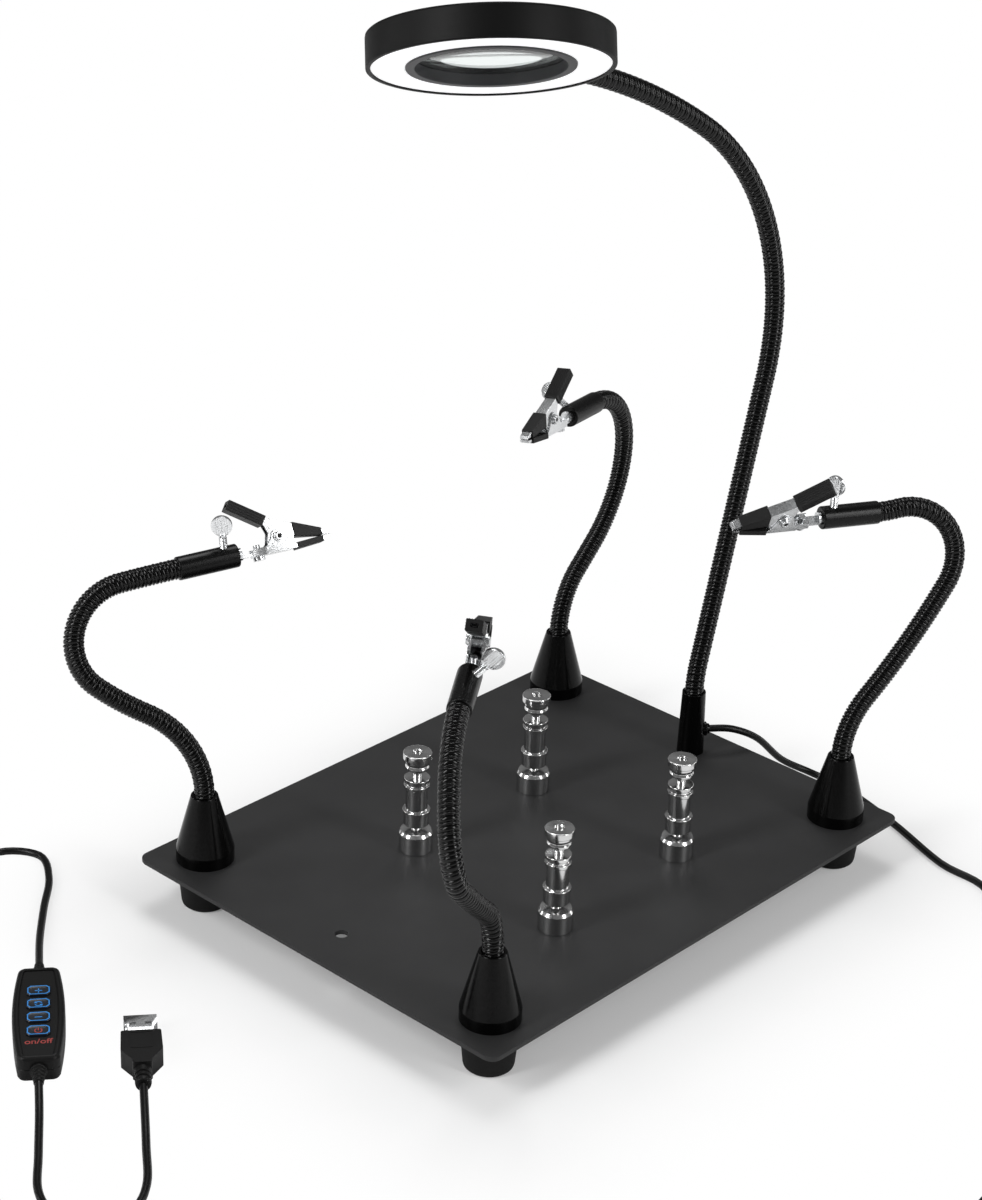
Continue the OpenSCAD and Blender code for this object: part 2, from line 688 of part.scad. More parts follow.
// A turned pillar: a magnet's base, a spool with its rings, and a head with a hexagon socket.
// Heights are counted from the plate up to the spool's waist, and from the head down above it.
module magnetic_pillar() {
    b = pillar_base_d / 2;
    head = pillar_head_d / 2;
    h = pillar_h;
    stem = 1.8;
    shaft = 4.3;
    rim = 5;
    difference() {
        rotate_extrude() polygon([
            [0, 0], [b - 0.3, 0], [b, 0.3], [b, 7.6], [b - 0.7, 8.8], [stem, 9], [stem, 11.4],
            [rim - 0.3, 11.5], [rim, 11.8], [rim, 16.1], [rim + 0.4, 16.3], [rim + 0.4, 18], [shaft, 18.2],
            [shaft, h - 15.8], [rim, h - 15.6], [rim, h - 14], [shaft, h - 13.8], [shaft, h - 12.8],
            [rim, h - 12.6], [rim, h - 11], [stem, h - 10.9], [stem, h - 7.1], [rim - 0.3, h - 7],
            [rim - 0.3, h - 6], [shaft, h - 5], [rim - 0.3, h - 4], [rim - 0.3, h - 2.9],
            [head, h - 2.7], [head, h - 0.3], [head - 0.3, h], [0, h],
        ]);
        translate([0, 0, h - 2]) cylinder(d = 3.4, h = 3, $fn = 6);
        translate([0, 0, h - 0.5]) cylinder(d = 4.4, h = 1);
    }
}

module board_pillar(pillar) {
    color("#d5d8da") translate([pillar[1], pillar[2], 0]) magnetic_pillar();
}

// ---------- Lamp ----------

LAMP_DEPTH = 12;         // depth to which the lamp's neck sits in its post
GROMMET_D = 5;

module at_lamp_mouth() {
    translate([POST_X, 0, post_h]) rotate([0, 0, LAMP_TURN]) children();
}

module at_lamp_bend() {
    at_lamp_mouth() at_end(LAMP_LOWER, lamp_neck_len) children();
}

// The ring's swivel: +Z runs towards the ring's middle and +X is the ring's upward axis.
module at_ring_swivel() {
    at_lamp_bend() at_end(LAMP_UPPER, lamp_neck_len) rotate([0, 0, RING_ROLL]) children();
}

// The ring's middle, with +Z up through the lens and z = 0 on the lit side.
module at_ring() {
    at_ring_swivel() translate([-ring_h / 2, 0, RING_STUB + ring_d / 2])
        rotate([0, 90, 0]) children();
}

module lamp_post() {
    color("#101012") at_lamp_post() difference() {
        union() {
            socket(post_base_d, post_top_d, 1, post_h, LAMP_DEPTH);
            translate([0, 0, EXIT_Z]) rotate([0, 90, EXIT_TURN])
                translate([0, 0, 4]) cylinder(d = GROMMET_D, h = GROMMET_OUT - 4);
        }
        translate([0, 0, EXIT_Z]) rotate([0, 90, EXIT_TURN])
            translate([0, 0, screw_d / 2]) cylinder(d = cord_d - 0.6, h = 9);
    }
}

module lamp_neck_lower() {
    color("#0c0c0d") at_lamp_mouth() lower_neck(LAMP_LOWER, lamp_neck_len, LAMP_DEPTH);
}

module lamp_neck_upper() {
    color("#0c0c0d") at_lamp_bend()
        upper_neck(shortened(LAMP_UPPER, lamp_neck_len, BALL_D / 2 + BALL_GAP), lamp_neck_len);
}

RING_R = ring_d / 2;
VIEW_R = lens_view_d / 2;
LENS_R = VIEW_R + 1.7;             // the lens is held by its rim
INNER_R = LENS_R + 1.5;            // outside of the wall round the lens
LENS_RIM_T = 2.4;
LENS_Z = 4;                        // underside of the lens's rim
PANEL_T = 1.4;
PANEL_Z = 0.5;                     // the diffuser sits a little inside the rim

module ring_housing() {
    seat = LENS_Z + LENS_RIM_T;
    color("#1c1d1f") {
        at_ring() rotate_extrude($fn = 96) polygon([
            [RING_R - ring_wall, 0], [RING_R - 0.6, 0], [RING_R, 0.6], [RING_R, ring_h - 1],
            [RING_R - 1, ring_h], [VIEW_R + 0.6, ring_h], [VIEW_R, ring_h - 0.6], [VIEW_R, seat],
            [LENS_R + FIT, seat], [LENS_R + FIT, ring_wall], [INNER_R, ring_wall],
            [INNER_R, ring_h - ring_wall], [RING_R - ring_wall, ring_h - ring_wall],
        ]);
        at_ring_swivel() {
            sphere(d = BALL_D);
            cylinder(d = 0.85 * neck_d, h = RING_STUB + ring_wall / 2);
        }
    }
}

// The frosted diffuser and the board of lamps behind it.
module ring_light_panel() {
    color("#f4f5f6") at_ring() {
        annulus(INNER_R + FIT, RING_R - ring_wall - FIT, PANEL_Z, PANEL_T);
        annulus(INNER_R + FIT, RING_R - ring_wall - FIT, ring_h - ring_wall - 2.2, 1.2);
    }
}

module annulus(inner, outer, z, t) {
    translate([0, 0, z]) difference() {
        cylinder(r = outer, h = t, $fn = 96);
        translate([0, 0, -1]) cylinder(r = inner, h = t + 2, $fn = 96);
    }
}

module lens_bezel() {
    color("#6e7276") at_ring() rotate_extrude($fn = 96) polygon([
        [VIEW_R, 0.3], [VIEW_R + 0.3, 0], [INNER_R - 0.3, 0], [INNER_R, 0.3], [INNER_R, ring_wall],
        [LENS_R, ring_wall], [LENS_R, LENS_Z], [VIEW_R, LENS_Z],
    ]);
}

// Rise of a domed face of the lens at a share of the way out from its middle.
function dome_rise(share) = (lens_t - LENS_RIM_T) / 2 * (1 - share ^ 2);

// A lens with two domed faces on a straight rim.
module magnifier_lens() {
    steps = 6;
    r = VIEW_R - 0.2;
    color("#dfeef2", 0.35) at_ring() translate([0, 0, LENS_Z]) rotate_extrude($fn = 96) polygon(concat(
        [for (i = [0 : steps]) [r * i / steps, -dome_rise(i / steps)]],
        [[LENS_R, 0], [LENS_R, LENS_RIM_T]],
        [for (i = [0 : steps]) [r * (1 - i / steps), LENS_RIM_T + dome_rise(1 - i / steps)]]
    ));
}

// ---------- Controller, plug and cords ----------

module at_case() {
    translate([CASE_AT[0], CASE_AT[1], FLOOR_Z]) rotate([0, 0, LEAD_TURN]) children();
}

// Case outline: its sides bulge and its ends are narrower.
module case_outline(inset = 0) {
    bulge = 2.2;
    r = (case_len ^ 2 / 4 + bulge ^ 2) / (2 * bulge);
    intersection() {
        for (side = [-1, 1])
            intersection_for_side(side, r, inset);
        square([case_w - 2 * inset, case_len - 2 * inset], center = true);
    }
}

module intersection_for_side(side, r, inset) {
    translate([side * (r - case_w / 2), 0]) circle(r = r - inset, $fn = 180);
}

// Place of button i, counted from the lamp's end of the case.
module at_button(i) {
    translate([0, (1.5 - i) * button_pitch + 0.35, 0]) children();
}

// Chamfered oblong of a button, larger by a margin all round.
module button_outline(margin = 0) {
    w = button_w / 2 + margin;
    l = button_l / 2 + margin;
    c = 1.3;
    polygon([
        [-w + c, -l], [w - c, -l], [w, -l + c], [w, l - c], [w - c, l], [-w + c, l],
        [-w, l - c], [-w, -l + c],
    ]);
}

CASE_WALL = 1.4;
PANEL_INSET = 0.5;       // the button panel lies a little below the rim
BUTTON_PROUD = 0.4;      // the buttons stand above the rim of the case
FLANGE_T = 0.8;
BOARD_Z = 3;

module case_lower_shell() {
    difference() {
        linear_extrude(case_t / 2) case_outline();
        translate([0, 0, CASE_WALL]) linear_extrude(case_t) case_outline(CASE_WALL);
        cord_way(case_len);
    }
}

module case_upper_shell() {
    difference() {
        translate([0, 0, case_t / 2]) linear_extrude(case_t / 2) case_outline();
        linear_extrude(case_t - PANEL_INSET - CASE_WALL) case_outline(CASE_WALL);
        translate([0, 0, case_t - PANEL_INSET]) linear_extrude(1) case_outline(2.4);
        for (i = [0 : len(BUTTONS) - 1])
            at_button(i) linear_extrude(case_t + 1) button_outline(SLIDE);
        cord_way(case_len);
    }
}

// The hole through both ends of the case that a cord's strain relief fills.
module cord_way(length) {
    translate([0, length / 2 + 1, case_t / 2]) rotate([90, 0, 0])
        cylinder(d = cord_d + 1.6, h = length + 2);
}

// A tapered strain relief: it fills the case's hole and ends at the cord.
module strain_relief() {
    translate([0, case_len / 2 - CASE_WALL, case_t / 2]) rotate([-90, 0, 0]) difference() {
        union() {
            cylinder(d = cord_d + 1.6, h = CASE_WALL + EPS);
            translate([0, 0, CASE_WALL]) rotate_extrude() polygon([
                [0, 0], [cord_d / 2 + 1.6, 0], [cord_d / 2 + 0.4, RELIEF_LEN], [0, RELIEF_LEN],
            ]);
        }
        translate([0, 0, -1]) cylinder(d = cord_d - 1, h = CASE_WALL + 3);
    }
}

// Both shells of the case, its two strain reliefs, and the board that they close on.
module controller_case() {
    color("#141416") at_case() {
        case_lower_shell();
        case_upper_shell();
        for (turn = [0, 180]) rotate([0, 0, turn]) strain_relief();
        translate([0, 0, BOARD_Z]) linear_extrude(1)
            square([case_w - 2 * CASE_WALL - 5, case_len - 2 * CASE_WALL - 6], center = true);
    }
}

module controller_button(i) {
    top = case_t + BUTTON_PROUD;
    flange = case_t - PANEL_INSET - CASE_WALL - FLANGE_T;
    color("#0e1a2a") at_case() at_button(i) {
        translate([0, 0, flange]) linear_extrude(top - flange) button_outline();
        translate([0, 0, flange]) linear_extrude(FLANGE_T) button_outline(0.7);
    }
}

module lamp_cord() {
    color("#111112") swept_cord(LAMP_CORD, cord_d);
}

module plug_cord() {
    color("#111112") swept_cord(PLUG_CORD, cord_d);
}

GRIP_W = 15;
GRIP_LEN = 19.5;
GRIP_RELIEF = 8.5;
SHELL_W = 12;
SHELL_T = 4.5;
SHELL_OUT = 11.7;        // length of plug that stands out of the grip
SHELL_IN = 4;
SHELL_WALL = 0.35;

// The cord's end of the plug, with +Y towards its mouth.
module at_plug() {
    translate([PLUG_AT[0], PLUG_AT[1], FLOOR_Z + GRIP_T / 2]) rotate([0, 0, LEAD_TURN]) children();
}

module plug_grip() {
    start = GRIP_RELIEF;
    waist = GRIP_W / 2 - 2;
    color("#161618") at_plug() difference() {
        union() {
            translate([0, start, -GRIP_T / 2]) linear_extrude(GRIP_T) polygon([
                [-waist + 2, 0], [-waist, 3], [-GRIP_W / 2, 8], [-GRIP_W / 2, GRIP_LEN],
                [GRIP_W / 2, GRIP_LEN], [GRIP_W / 2, 8], [waist, 3], [waist - 2, 0],
            ]);
            rotate([-90, 0, 0]) rotate_extrude() polygon([
                [0, 0], [cord_d / 2 + 0.5, 0], [cord_d / 2 + 1.8, start + 1], [0, start + 1],
            ]);
        }
        translate([0, start + GRIP_LEN - SHELL_IN / 2, 0])
            cube([SHELL_W, SHELL_IN + EPS, SHELL_T], center = true);
    }
}

module plug_shell() {
    start = GRIP_RELIEF + GRIP_LEN - SHELL_IN;
    length = SHELL_IN + SHELL_OUT;
    color("#c8cbce") at_plug() translate([0, start, 0]) {
        difference() {
            translate([-SHELL_W / 2, 0, -SHELL_T / 2]) cube([SHELL_W, length, SHELL_T]);
            translate([-SHELL_W / 2 + SHELL_WALL, SHELL_IN, -SHELL_T / 2 + SHELL_WALL])
                cube([SHELL_W - 2 * SHELL_WALL, length, SHELL_T - 2 * SHELL_WALL]);
            for (x = [-1, 1])
                translate([x * 2.8 - 1.15, SHELL_IN + 5, 0]) cube([2.3, 2.2, SHELL_T]);
        }
        translate([-SHELL_W / 2 + 0.6, SHELL_IN - EPS, -SHELL_T / 2 + 0.5])
            cube([SHELL_W - 1.2, SHELL_OUT - 0.6, 1.6]);
    }
}

// ---------- Pieces ----------

base_plate();
rubber_feet();
foot_screws();
arm_sockets();
for (arm = ARMS, piece = ARM_PIECES)
    arm_piece(arm, piece);
for (pillar = PILLARS)
    board_pillar(pillar);
lamp_post();
lamp_neck_lower();
lamp_neck_upper();
ring_housing();
ring_light_panel();
lens_bezel();
magnifier_lens();
controller_case();
for (i = [0 : len(BUTTONS) - 1])
    controller_button(i);
lamp_cord();
plug_cord();
plug_grip();
plug_shell();
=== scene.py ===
"""Looks of a helping hands clamp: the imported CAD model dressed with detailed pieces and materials.

Local shapes are written in millimetres, in the same places as the CAD model's own, and every piece is
made in metres in the row frame.
"""

import math

import bmesh
import bpy
from mathutils import Matrix, Vector


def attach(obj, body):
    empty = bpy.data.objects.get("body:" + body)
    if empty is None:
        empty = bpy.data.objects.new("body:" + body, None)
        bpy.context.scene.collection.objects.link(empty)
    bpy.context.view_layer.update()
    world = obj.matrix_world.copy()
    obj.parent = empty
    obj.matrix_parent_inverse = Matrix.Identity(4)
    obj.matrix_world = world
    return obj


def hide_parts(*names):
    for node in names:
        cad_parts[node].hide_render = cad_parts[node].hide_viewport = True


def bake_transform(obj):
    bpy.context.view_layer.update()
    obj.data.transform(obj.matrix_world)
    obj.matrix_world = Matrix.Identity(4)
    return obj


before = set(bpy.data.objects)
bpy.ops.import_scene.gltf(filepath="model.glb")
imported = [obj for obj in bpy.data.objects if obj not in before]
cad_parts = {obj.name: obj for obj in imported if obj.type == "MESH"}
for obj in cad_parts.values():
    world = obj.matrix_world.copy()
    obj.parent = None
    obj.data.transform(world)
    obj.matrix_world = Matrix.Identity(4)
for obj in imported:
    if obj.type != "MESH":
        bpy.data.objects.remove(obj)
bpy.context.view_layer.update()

MM = 0.001
TO_METRES = Matrix.Scale(MM, 4)
IDENTITY = Matrix.Identity(4)

# ---------------------------------------------------------------- sizes, as in the CAD model

PLATE_W, PLATE_D, PLATE_T, PLATE_R = 240, 188, 2, 5
POST_X, POST_Y = 101.5, 75.5
FLOOR_Z = -20
SOCKET_H, SOCKET_D, SOCKET_TOP_D, SOCKET_COLLAR = 28, 22.6, 10.4, 5
SOCKET_DEPTH, LAMP_DEPTH = 10, 12
POST_D, POST_TOP_D = 11.2, 9.8
HOLE_D, SPARE_HOLE_D, TAPPED_D = 5.4, 5, 5
FOOT_D, FOOT_END_D, FOOT_POCKET_D, FOOT_POCKET_H = 22, 18.5, 10, 6
NECK_D = 8
ARM_NECK, LAMP_NECK = 140, 337
TUBE_D, TUBE_LEN, TUBE_BORE = 9, 24, 5
THUMB_D, THUMB_BACK, THUMB_HEAD_D, THUMB_HEAD_T, THUMB_RISE = 3, 5, 8, 1.8, 13.2
RING_D, RING_H, RING_STUB, RING_WALL = 86, 12, 4, 1.6
LENS_VIEW_D = 52.4
PILLAR_H, PILLAR_BASE_D, PILLAR_HEAD_D = 43, 13.4, 11.2
CASE_LEN, CASE_W, CASE_T = 58, 19, 10
CORD_D = 3

# Each arm: side along X and Y, direction of its bulge, turns of its upper half, clamp tube, thumbscrew
# and clip, and the bends of its two halves as (share of the neck's length, degrees).
ARMS = {
    "front": ((-1, -1, 206), (12, 50, -90, 12), ((0.18, 51), (0.29, -3)), ((0.19, -75), (0.34, -58))),
    "left": ((-1, 1, 147), (16, 9, -24, -20), ((0.32, 60), (0.16, -11)), ((0.36, -132), (0.16, -2))),
    "right": ((1, -1, -19.5), (-12, -8, -60, -34), ((0.19, 43), (0.39, -11.5)), ((0.36, -130), (0.06, 9))),
    "back": ((1, 1, 10), (5, 62, -60, 12), ((0.21, 57), (0.11, -1)), ((0.32, -62), (0.36, -80))),
}
LAMP_TURN, RING_ROLL = -4, 22.6
LAMP_BENDS = ((0.04, 13), (0.36, 0)), ((0.38, -70), (0.22, -15))
PILLARS = {"front": (-41, -52), "left": (-38, 24), "right": (32, -50), "back": (30, 24)}

EXIT_TURN, EXIT_Z, GROMMET_OUT = -40, 10, 7.5
LEAD_TURN = -38.8
CASE_AT = (-204, 50)
PLUG_AT = (-201, -3.8)
RELIEF_LEN = 8
GRIP_T = 8
CORD_Z = FLOOR_Z + CORD_D / 2

# ---------------------------------------------------------------- camera

CAMERA_AT = Vector((-0.7170, -0.6270, 0.5661))
CAMERA_AZIMUTH, CAMERA_ELEVATION, CAMERA_ROLL = -47.791, 25.934, 2.052
CAMERA_LENS = 83.94


def add_camera():
    azimuth, elevation = math.radians(CAMERA_AZIMUTH), math.radians(CAMERA_ELEVATION)
    turn = Matrix.Rotation(azimuth, 4, "Z") @ Matrix.Rotation(math.pi / 2 - elevation, 4, "X")
    data = bpy.data.cameras.new("camera")
    data.lens = CAMERA_LENS
    data.sensor_width = 36
    data.clip_start = 0.01
    camera = bpy.data.objects.new("camera", data)
    roll = Matrix.Rotation(math.radians(CAMERA_ROLL), 4, "Z")
    camera.matrix_world = Matrix.Translation(CAMERA_AT) @ turn @ roll
    bpy.context.collection.objects.link(camera)
    bpy.context.scene.camera = camera


add_camera()

# ---------------------------------------------------------------- places


def turn_about(axis, degrees):
    return Matrix.Rotation(math.radians(degrees), 4, axis)


def move(x=0.0, y=0.0, z=0.0):
    return Matrix.Translation((x, y, z))


def bend_matrix(length, turn):
    """Place at the end of a bend that starts at the origin along +Z and turns towards +X."""
    if abs(turn) < 1e-9:
        return move(z=length)
    angle = math.radians(turn)
    radius = length / angle
    return move(radius * (1 - math.cos(angle)), 0, radius * math.sin(angle)) @ turn_about("Y", turn)


class Neck:
    """The middle line of a flexible neck, as a row of bends of (length, degrees, twist)."""

    def __init__(self, mouth, lower, upper, twist, total):
        self.mouth = mouth
        self.twist = twist
        self.total = total
        self.bends = [(share * total, turn, 0) for share, turn in lower]
        self.join = sum(length for length, _, _ in self.bends)
        self.bends += [(share * total, turn, twist) for share, turn in upper]
        self.length = sum(length for length, _, _ in self.bends)

    def at(self, s):
        """Place at the length s from the mouth, with +Z along the neck and no twist."""
        matrix = self.mouth.copy()
        if s < 0:
            return matrix @ move(z=s)
        for length, turn, twist in self.bends:
            part = min(s, length)
            bend = bend_matrix(part, turn * part / length)
            matrix = matrix @ turn_about("Z", twist) @ bend @ turn_about("Z", -twist)
            s -= part
            if s <= 0:
                return matrix
        return matrix @ move(z=s)

    def end(self):
        """Place at the neck's end, turned with its upper half."""
        return self.at(self.length) @ turn_about("Z", self.twist)

    def point(self, s):
        """Point on the middle line in metres."""
        return self.at(s).translation * MM


def arm_neck(name):
    (side_x, side_y, bulge), turns, lower, upper = ARMS[name]
    mouth = move(side_x * POST_X, side_y * POST_Y, SOCKET_H) @ turn_about("Z", bulge)
    return Neck(mouth, lower, upper, turns[0], ARM_NECK)


def at_tube(name):
    """The open end of an arm's clamp tube, with +X towards the thumbscrew."""
    return arm_neck(name).end() @ move(z=TUBE_LEN) @ turn_about("Z", ARMS[name][1][1])


def at_clip(name):
    """The same place with +X towards the clip's handle."""
    return arm_neck(name).end() @ move(z=TUBE_LEN) @ turn_about("Z", ARMS[name][1][3])


LAMP = Neck(move(POST_X, 0, SOCKET_H) @ turn_about("Z", LAMP_TURN), *LAMP_BENDS, 0, LAMP_NECK)
AT_RING = (LAMP.end() @ turn_about("Z", RING_ROLL) @ move(-RING_H / 2, 0, RING_STUB + RING_D / 2)
           @ turn_about("Y", 90))
AT_CASE = move(*CASE_AT, FLOOR_Z) @ turn_about("Z", LEAD_TURN)
AT_PLUG = move(*PLUG_AT, FLOOR_Z + GRIP_T / 2) @ turn_about("Z", LEAD_TURN)

# ---------------------------------------------------------------- materials

MATERIALS = {}
MOTTLE_SIZE = 25
NOISE_LOW, NOISE_HIGH = 0.3, 0.7     # most of a noise's values lie between these
LEAST_ROUGHNESS = 0.02


def set_inputs(node, values):
    for key, value in values.items():
        node.inputs[key].default_value = value


def add_node(tree, kind, values=None, **settings):
    """A new node with some of its settings and inputs changed."""
    node = tree.nodes.new(kind)
    for name, setting in settings.items():
        setattr(node, name, setting)
    set_inputs(node, values or {})
    return node


def shader_of(material):
    return material.node_tree.nodes["Principled BSDF"]


def add_noise(tree, scale, detail, stretch=(1, 1, 1)):
    coords = add_node(tree, "ShaderNodeTexCoord")
    mapping = add_node(tree, "ShaderNodeMapping", {"Scale": stretch})
    noise = add_node(tree, "ShaderNodeTexNoise", {"Scale": scale, "Detail": detail})
    tree.links.new(coords.outputs["Object"], mapping.inputs["Vector"])
    tree.links.new(mapping.outputs["Vector"], noise.inputs["Vector"])
    return noise.outputs["Fac"]


def add_range(tree, value, low, high):
    """Spreads a noise over low to high."""
    limits = {"From Min": NOISE_LOW, "From Max": NOISE_HIGH, "To Min": low, "To Max": high}
    spread = add_node(tree, "ShaderNodeMapRange", limits)
    tree.links.new(value, spread.inputs["Value"])
    return spread.outputs["Result"]


def add_material(name, color, roughness, metallic=0.0, grain=0.4, bump=0.1, depth=0.02, mottle=0.08,
                 gloss_change=0.05, stretch=(1, 1, 1), shine=0.5):
    """A finish with fine bump, broad colour change and patchy gloss. Grain and depth are in millimetres."""
    material = bpy.data.materials.new(name)
    material.use_nodes = True
    tree = material.node_tree
    shader = shader_of(material)
    set_inputs(shader, {"Metallic": metallic, "Specular IOR Level": shine})
    broad = add_noise(tree, 1 / (MOTTLE_SIZE * MM), 3)
    fine = add_noise(tree, 1 / (grain * MM), 2, stretch)
    dark = (*[c * (1 - mottle) for c in color], 1)
    light = (*[min(1, c * (1 + mottle)) for c in color], 1)
    mix = add_node(tree, "ShaderNodeMix", {"A": dark, "B": light}, data_type="RGBA")
    tree.links.new(add_range(tree, broad, 0, 1), mix.inputs["Factor"])
    tree.links.new(mix.outputs["Result"], shader.inputs["Base Color"])
    worn = add_range(tree, fine, max(LEAST_ROUGHNESS, roughness - gloss_change), roughness + gloss_change)
    tree.links.new(worn, shader.inputs["Roughness"])
    height = add_node(tree, "ShaderNodeBump", {"Strength": bump, "Distance": depth * MM})
    tree.links.new(fine, height.inputs["Height"])
    tree.links.new(height.outputs["Normal"], shader.inputs["Normal"])
    MATERIALS[name] = material
    return material


def add_turned_metal(name, color, roughness):
    """Metal turned on a lathe: its fine rings draw highlights out along its axis."""
    material = add_material(name, color, roughness, metallic=1.0, grain=0.8, bump=0.05,
                            gloss_change=0.02, stretch=(1, 1, 8))
    tree = material.node_tree
    shader = shader_of(material)
    set_inputs(shader, {"Anisotropic": 0.8})
    tangent = add_node(tree, "ShaderNodeTangent", direction_type="RADIAL", axis="Z")
    tree.links.new(tangent.outputs["Tangent"], shader.inputs["Tangent"])


def add_diffuser():
    """Frosted plastic over lamps that are lit a little."""
    material = add_material("diffuser", (0.86, 0.87, 0.88), 0.42, grain=0.3, bump=0.15, mottle=0.01)
    set_inputs(shader_of(material), {"Emission Color": (1, 1, 1, 1), "Emission Strength": 0.42})


def add_glass():
    material = add_material("lens_glass", (0.93, 0.98, 0.97), 0.03, bump=0.0, mottle=0.01,
                            gloss_change=0.01)
    set_inputs(shader_of(material), {"Transmission Weight": 1.0, "IOR": 1.5})


add_material("plate_steel", (0.022, 0.022, 0.0225), 0.55, grain=0.35, bump=0.5, depth=0.05, mottle=0.1,
             shine=0.3)
add_material("foot_rubber", (0.005, 0.005, 0.005), 0.72, grain=0.3, bump=0.3, shine=0.2)
add_material("screw_steel", (0.5, 0.51, 0.53), 0.3, metallic=1.0)
add_material("socket_black", (0.001, 0.001, 0.001), 0.18, grain=0.9, bump=0.08, shine=0.16)
add_material("neck_black", (0.001, 0.001, 0.001), 0.19, grain=0.6, bump=0.03, shine=0.3)
add_material("tube_black", (0.002, 0.002, 0.002), 0.28, grain=0.25, bump=0.15, shine=0.2)
add_material("thumbscrew_steel", (0.8, 0.81, 0.82), 0.24, metallic=1.0, grain=0.5, bump=0.1,
             stretch=(1, 1, 6))
add_material("clip_steel", (0.78, 0.79, 0.8), 0.2, metallic=1.0, grain=0.8, bump=0.15, stretch=(1, 1, 4))
add_material("sleeve_vinyl", (0.005, 0.005, 0.005), 0.48, grain=0.3, bump=0.25, shine=0.25)
add_material("fitting_steel", (0.7, 0.71, 0.72), 0.26, metallic=1.0)
add_turned_metal("pillar_chrome", (0.72, 0.72, 0.72), 0.14)
add_material("lamp_housing", (0.0025, 0.0025, 0.0025), 0.5, grain=0.3, bump=0.6, depth=0.05, shine=0.14)
add_diffuser()
add_material("bezel_grey", (0.03, 0.03, 0.032), 0.45, grain=0.3, bump=0.2, shine=0.3)
add_glass()
add_material("case_black", (0.004, 0.004, 0.004), 0.45, grain=0.25, bump=0.35, shine=0.2)
add_material("button_dark", (0.004, 0.006, 0.011), 0.34, grain=0.25, bump=0.15)
add_material("cord_black", (0.002, 0.002, 0.002), 0.34, grain=0.4, bump=0.15, shine=0.25)
add_material("plug_steel", (0.78, 0.79, 0.8), 0.27, metallic=1.0, grain=0.6, bump=0.12, stretch=(4, 1, 1))
add_material("contact_gold", (0.85, 0.6, 0.22), 0.25, metallic=1.0)
add_material("print_blue", (0.03, 0.23, 0.62), 0.35, mottle=0.05)
add_material("print_red", (0.3, 0.035, 0.03), 0.5, mottle=0.05)

# ---------------------------------------------------------------- mesh helpers

SMOOTH_LIMIT = math.cos(math.radians(40))     # cosine of the largest angle that is shaded as smooth
WELD, CAD_WELD = 1e-5, 1e-3                   # points closer together than this become one
FLAT_ANGLE = 0.5                              # largest angle between faces that count as one plane
EDGE_ANGLE = 28                               # angle between faces from which an edge is rounded
EDGE_R = 0.3                                  # usual rounding of a turned edge


def weight_normals(mesh):
    """Shades each corner by the faces that meet there smoothly, the larger ones counting for more."""
    around = [[] for _ in mesh.vertices]
    facing = [(face.normal.copy(), face.area) for face in mesh.polygons]
    for face in mesh.polygons:
        for vertex in face.vertices:
            around[vertex].append(facing[face.index])
    normals = [None] * len(mesh.loops)
    for face in mesh.polygons:
        for loop, vertex in zip(face.loop_indices, face.vertices):
            total = Vector()
            for normal, area in around[vertex]:
                if normal.dot(face.normal) > SMOOTH_LIMIT:
                    total += normal * area
            normals[loop] = total.normalized()
    mesh.normals_split_custom_set(normals)


def add_piece(name, mesh, body, slot, replaces=(), finish=None, weighted=True):
    """Shows a mesh that is already in metres, on a CAD body. A body of None leaves it on no body."""
    if weighted:
        weight_normals(mesh)
    piece = bpy.data.objects.new(name, mesh)
    bpy.context.collection.objects.link(piece)
    mesh.materials.clear()
    mesh.materials.append(MATERIALS[finish or slot])
    if body:
        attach(piece, body)
    if replaces:
        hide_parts(*replaces)
    return piece


def finish_mesh(name, bm, place):
    """Turns a bmesh in local millimetres into a smooth-shaded mesh in metres."""
    bmesh.ops.remove_doubles(bm, verts=bm.verts, dist=WELD)
    bmesh.ops.recalc_face_normals(bm, faces=bm.faces)
    bm.transform(TO_METRES @ place)
    for face in bm.faces:
        face.smooth = True
    mesh = bpy.data.meshes.new(name)
    bm.to_mesh(mesh)
    bm.free()
    return mesh


def rectangle(width, length, middle=0):
    corners = ((-1, -1), (1, -1), (1, 1), (-1, 1))
    return [(x * width / 2, middle + y * length / 2) for x, y in corners]


def rounded(points, radius, steps=3):
    """A closed outline with its corners rounded. A point (x, y, r) has its own radius r."""
    out = []
    count = len(points)
    for i, point in enumerate(points):
        here = Vector(point[:2])
        before = Vector(points[i - 1][:2]) - here
        after = Vector(points[(i + 1) % count][:2]) - here
        wanted = point[2] if len(point) > 2 else radius
        on_axis = abs(here.x) < 1e-9 and (abs(before.x) < 1e-9 or abs(after.x) < 1e-9)
        cosine = before.normalized().dot(after.normalized())
        if wanted <= 0 or on_axis or cosine < -0.995:
            out.append(tuple(here))
            continue
        half = math.acos(max(-1, min(1, cosine))) / 2
        back = min(wanted / math.tan(half), 0.45 * before.length, 0.45 * after.length)
        first, last = here + before.normalized() * back, here + after.normalized() * back
        for k in range(steps + 1):
            t = k / steps
            out.append(tuple((1 - t) ** 2 * first + 2 * t * (1 - t) * here + t ** 2 * last))
    return out


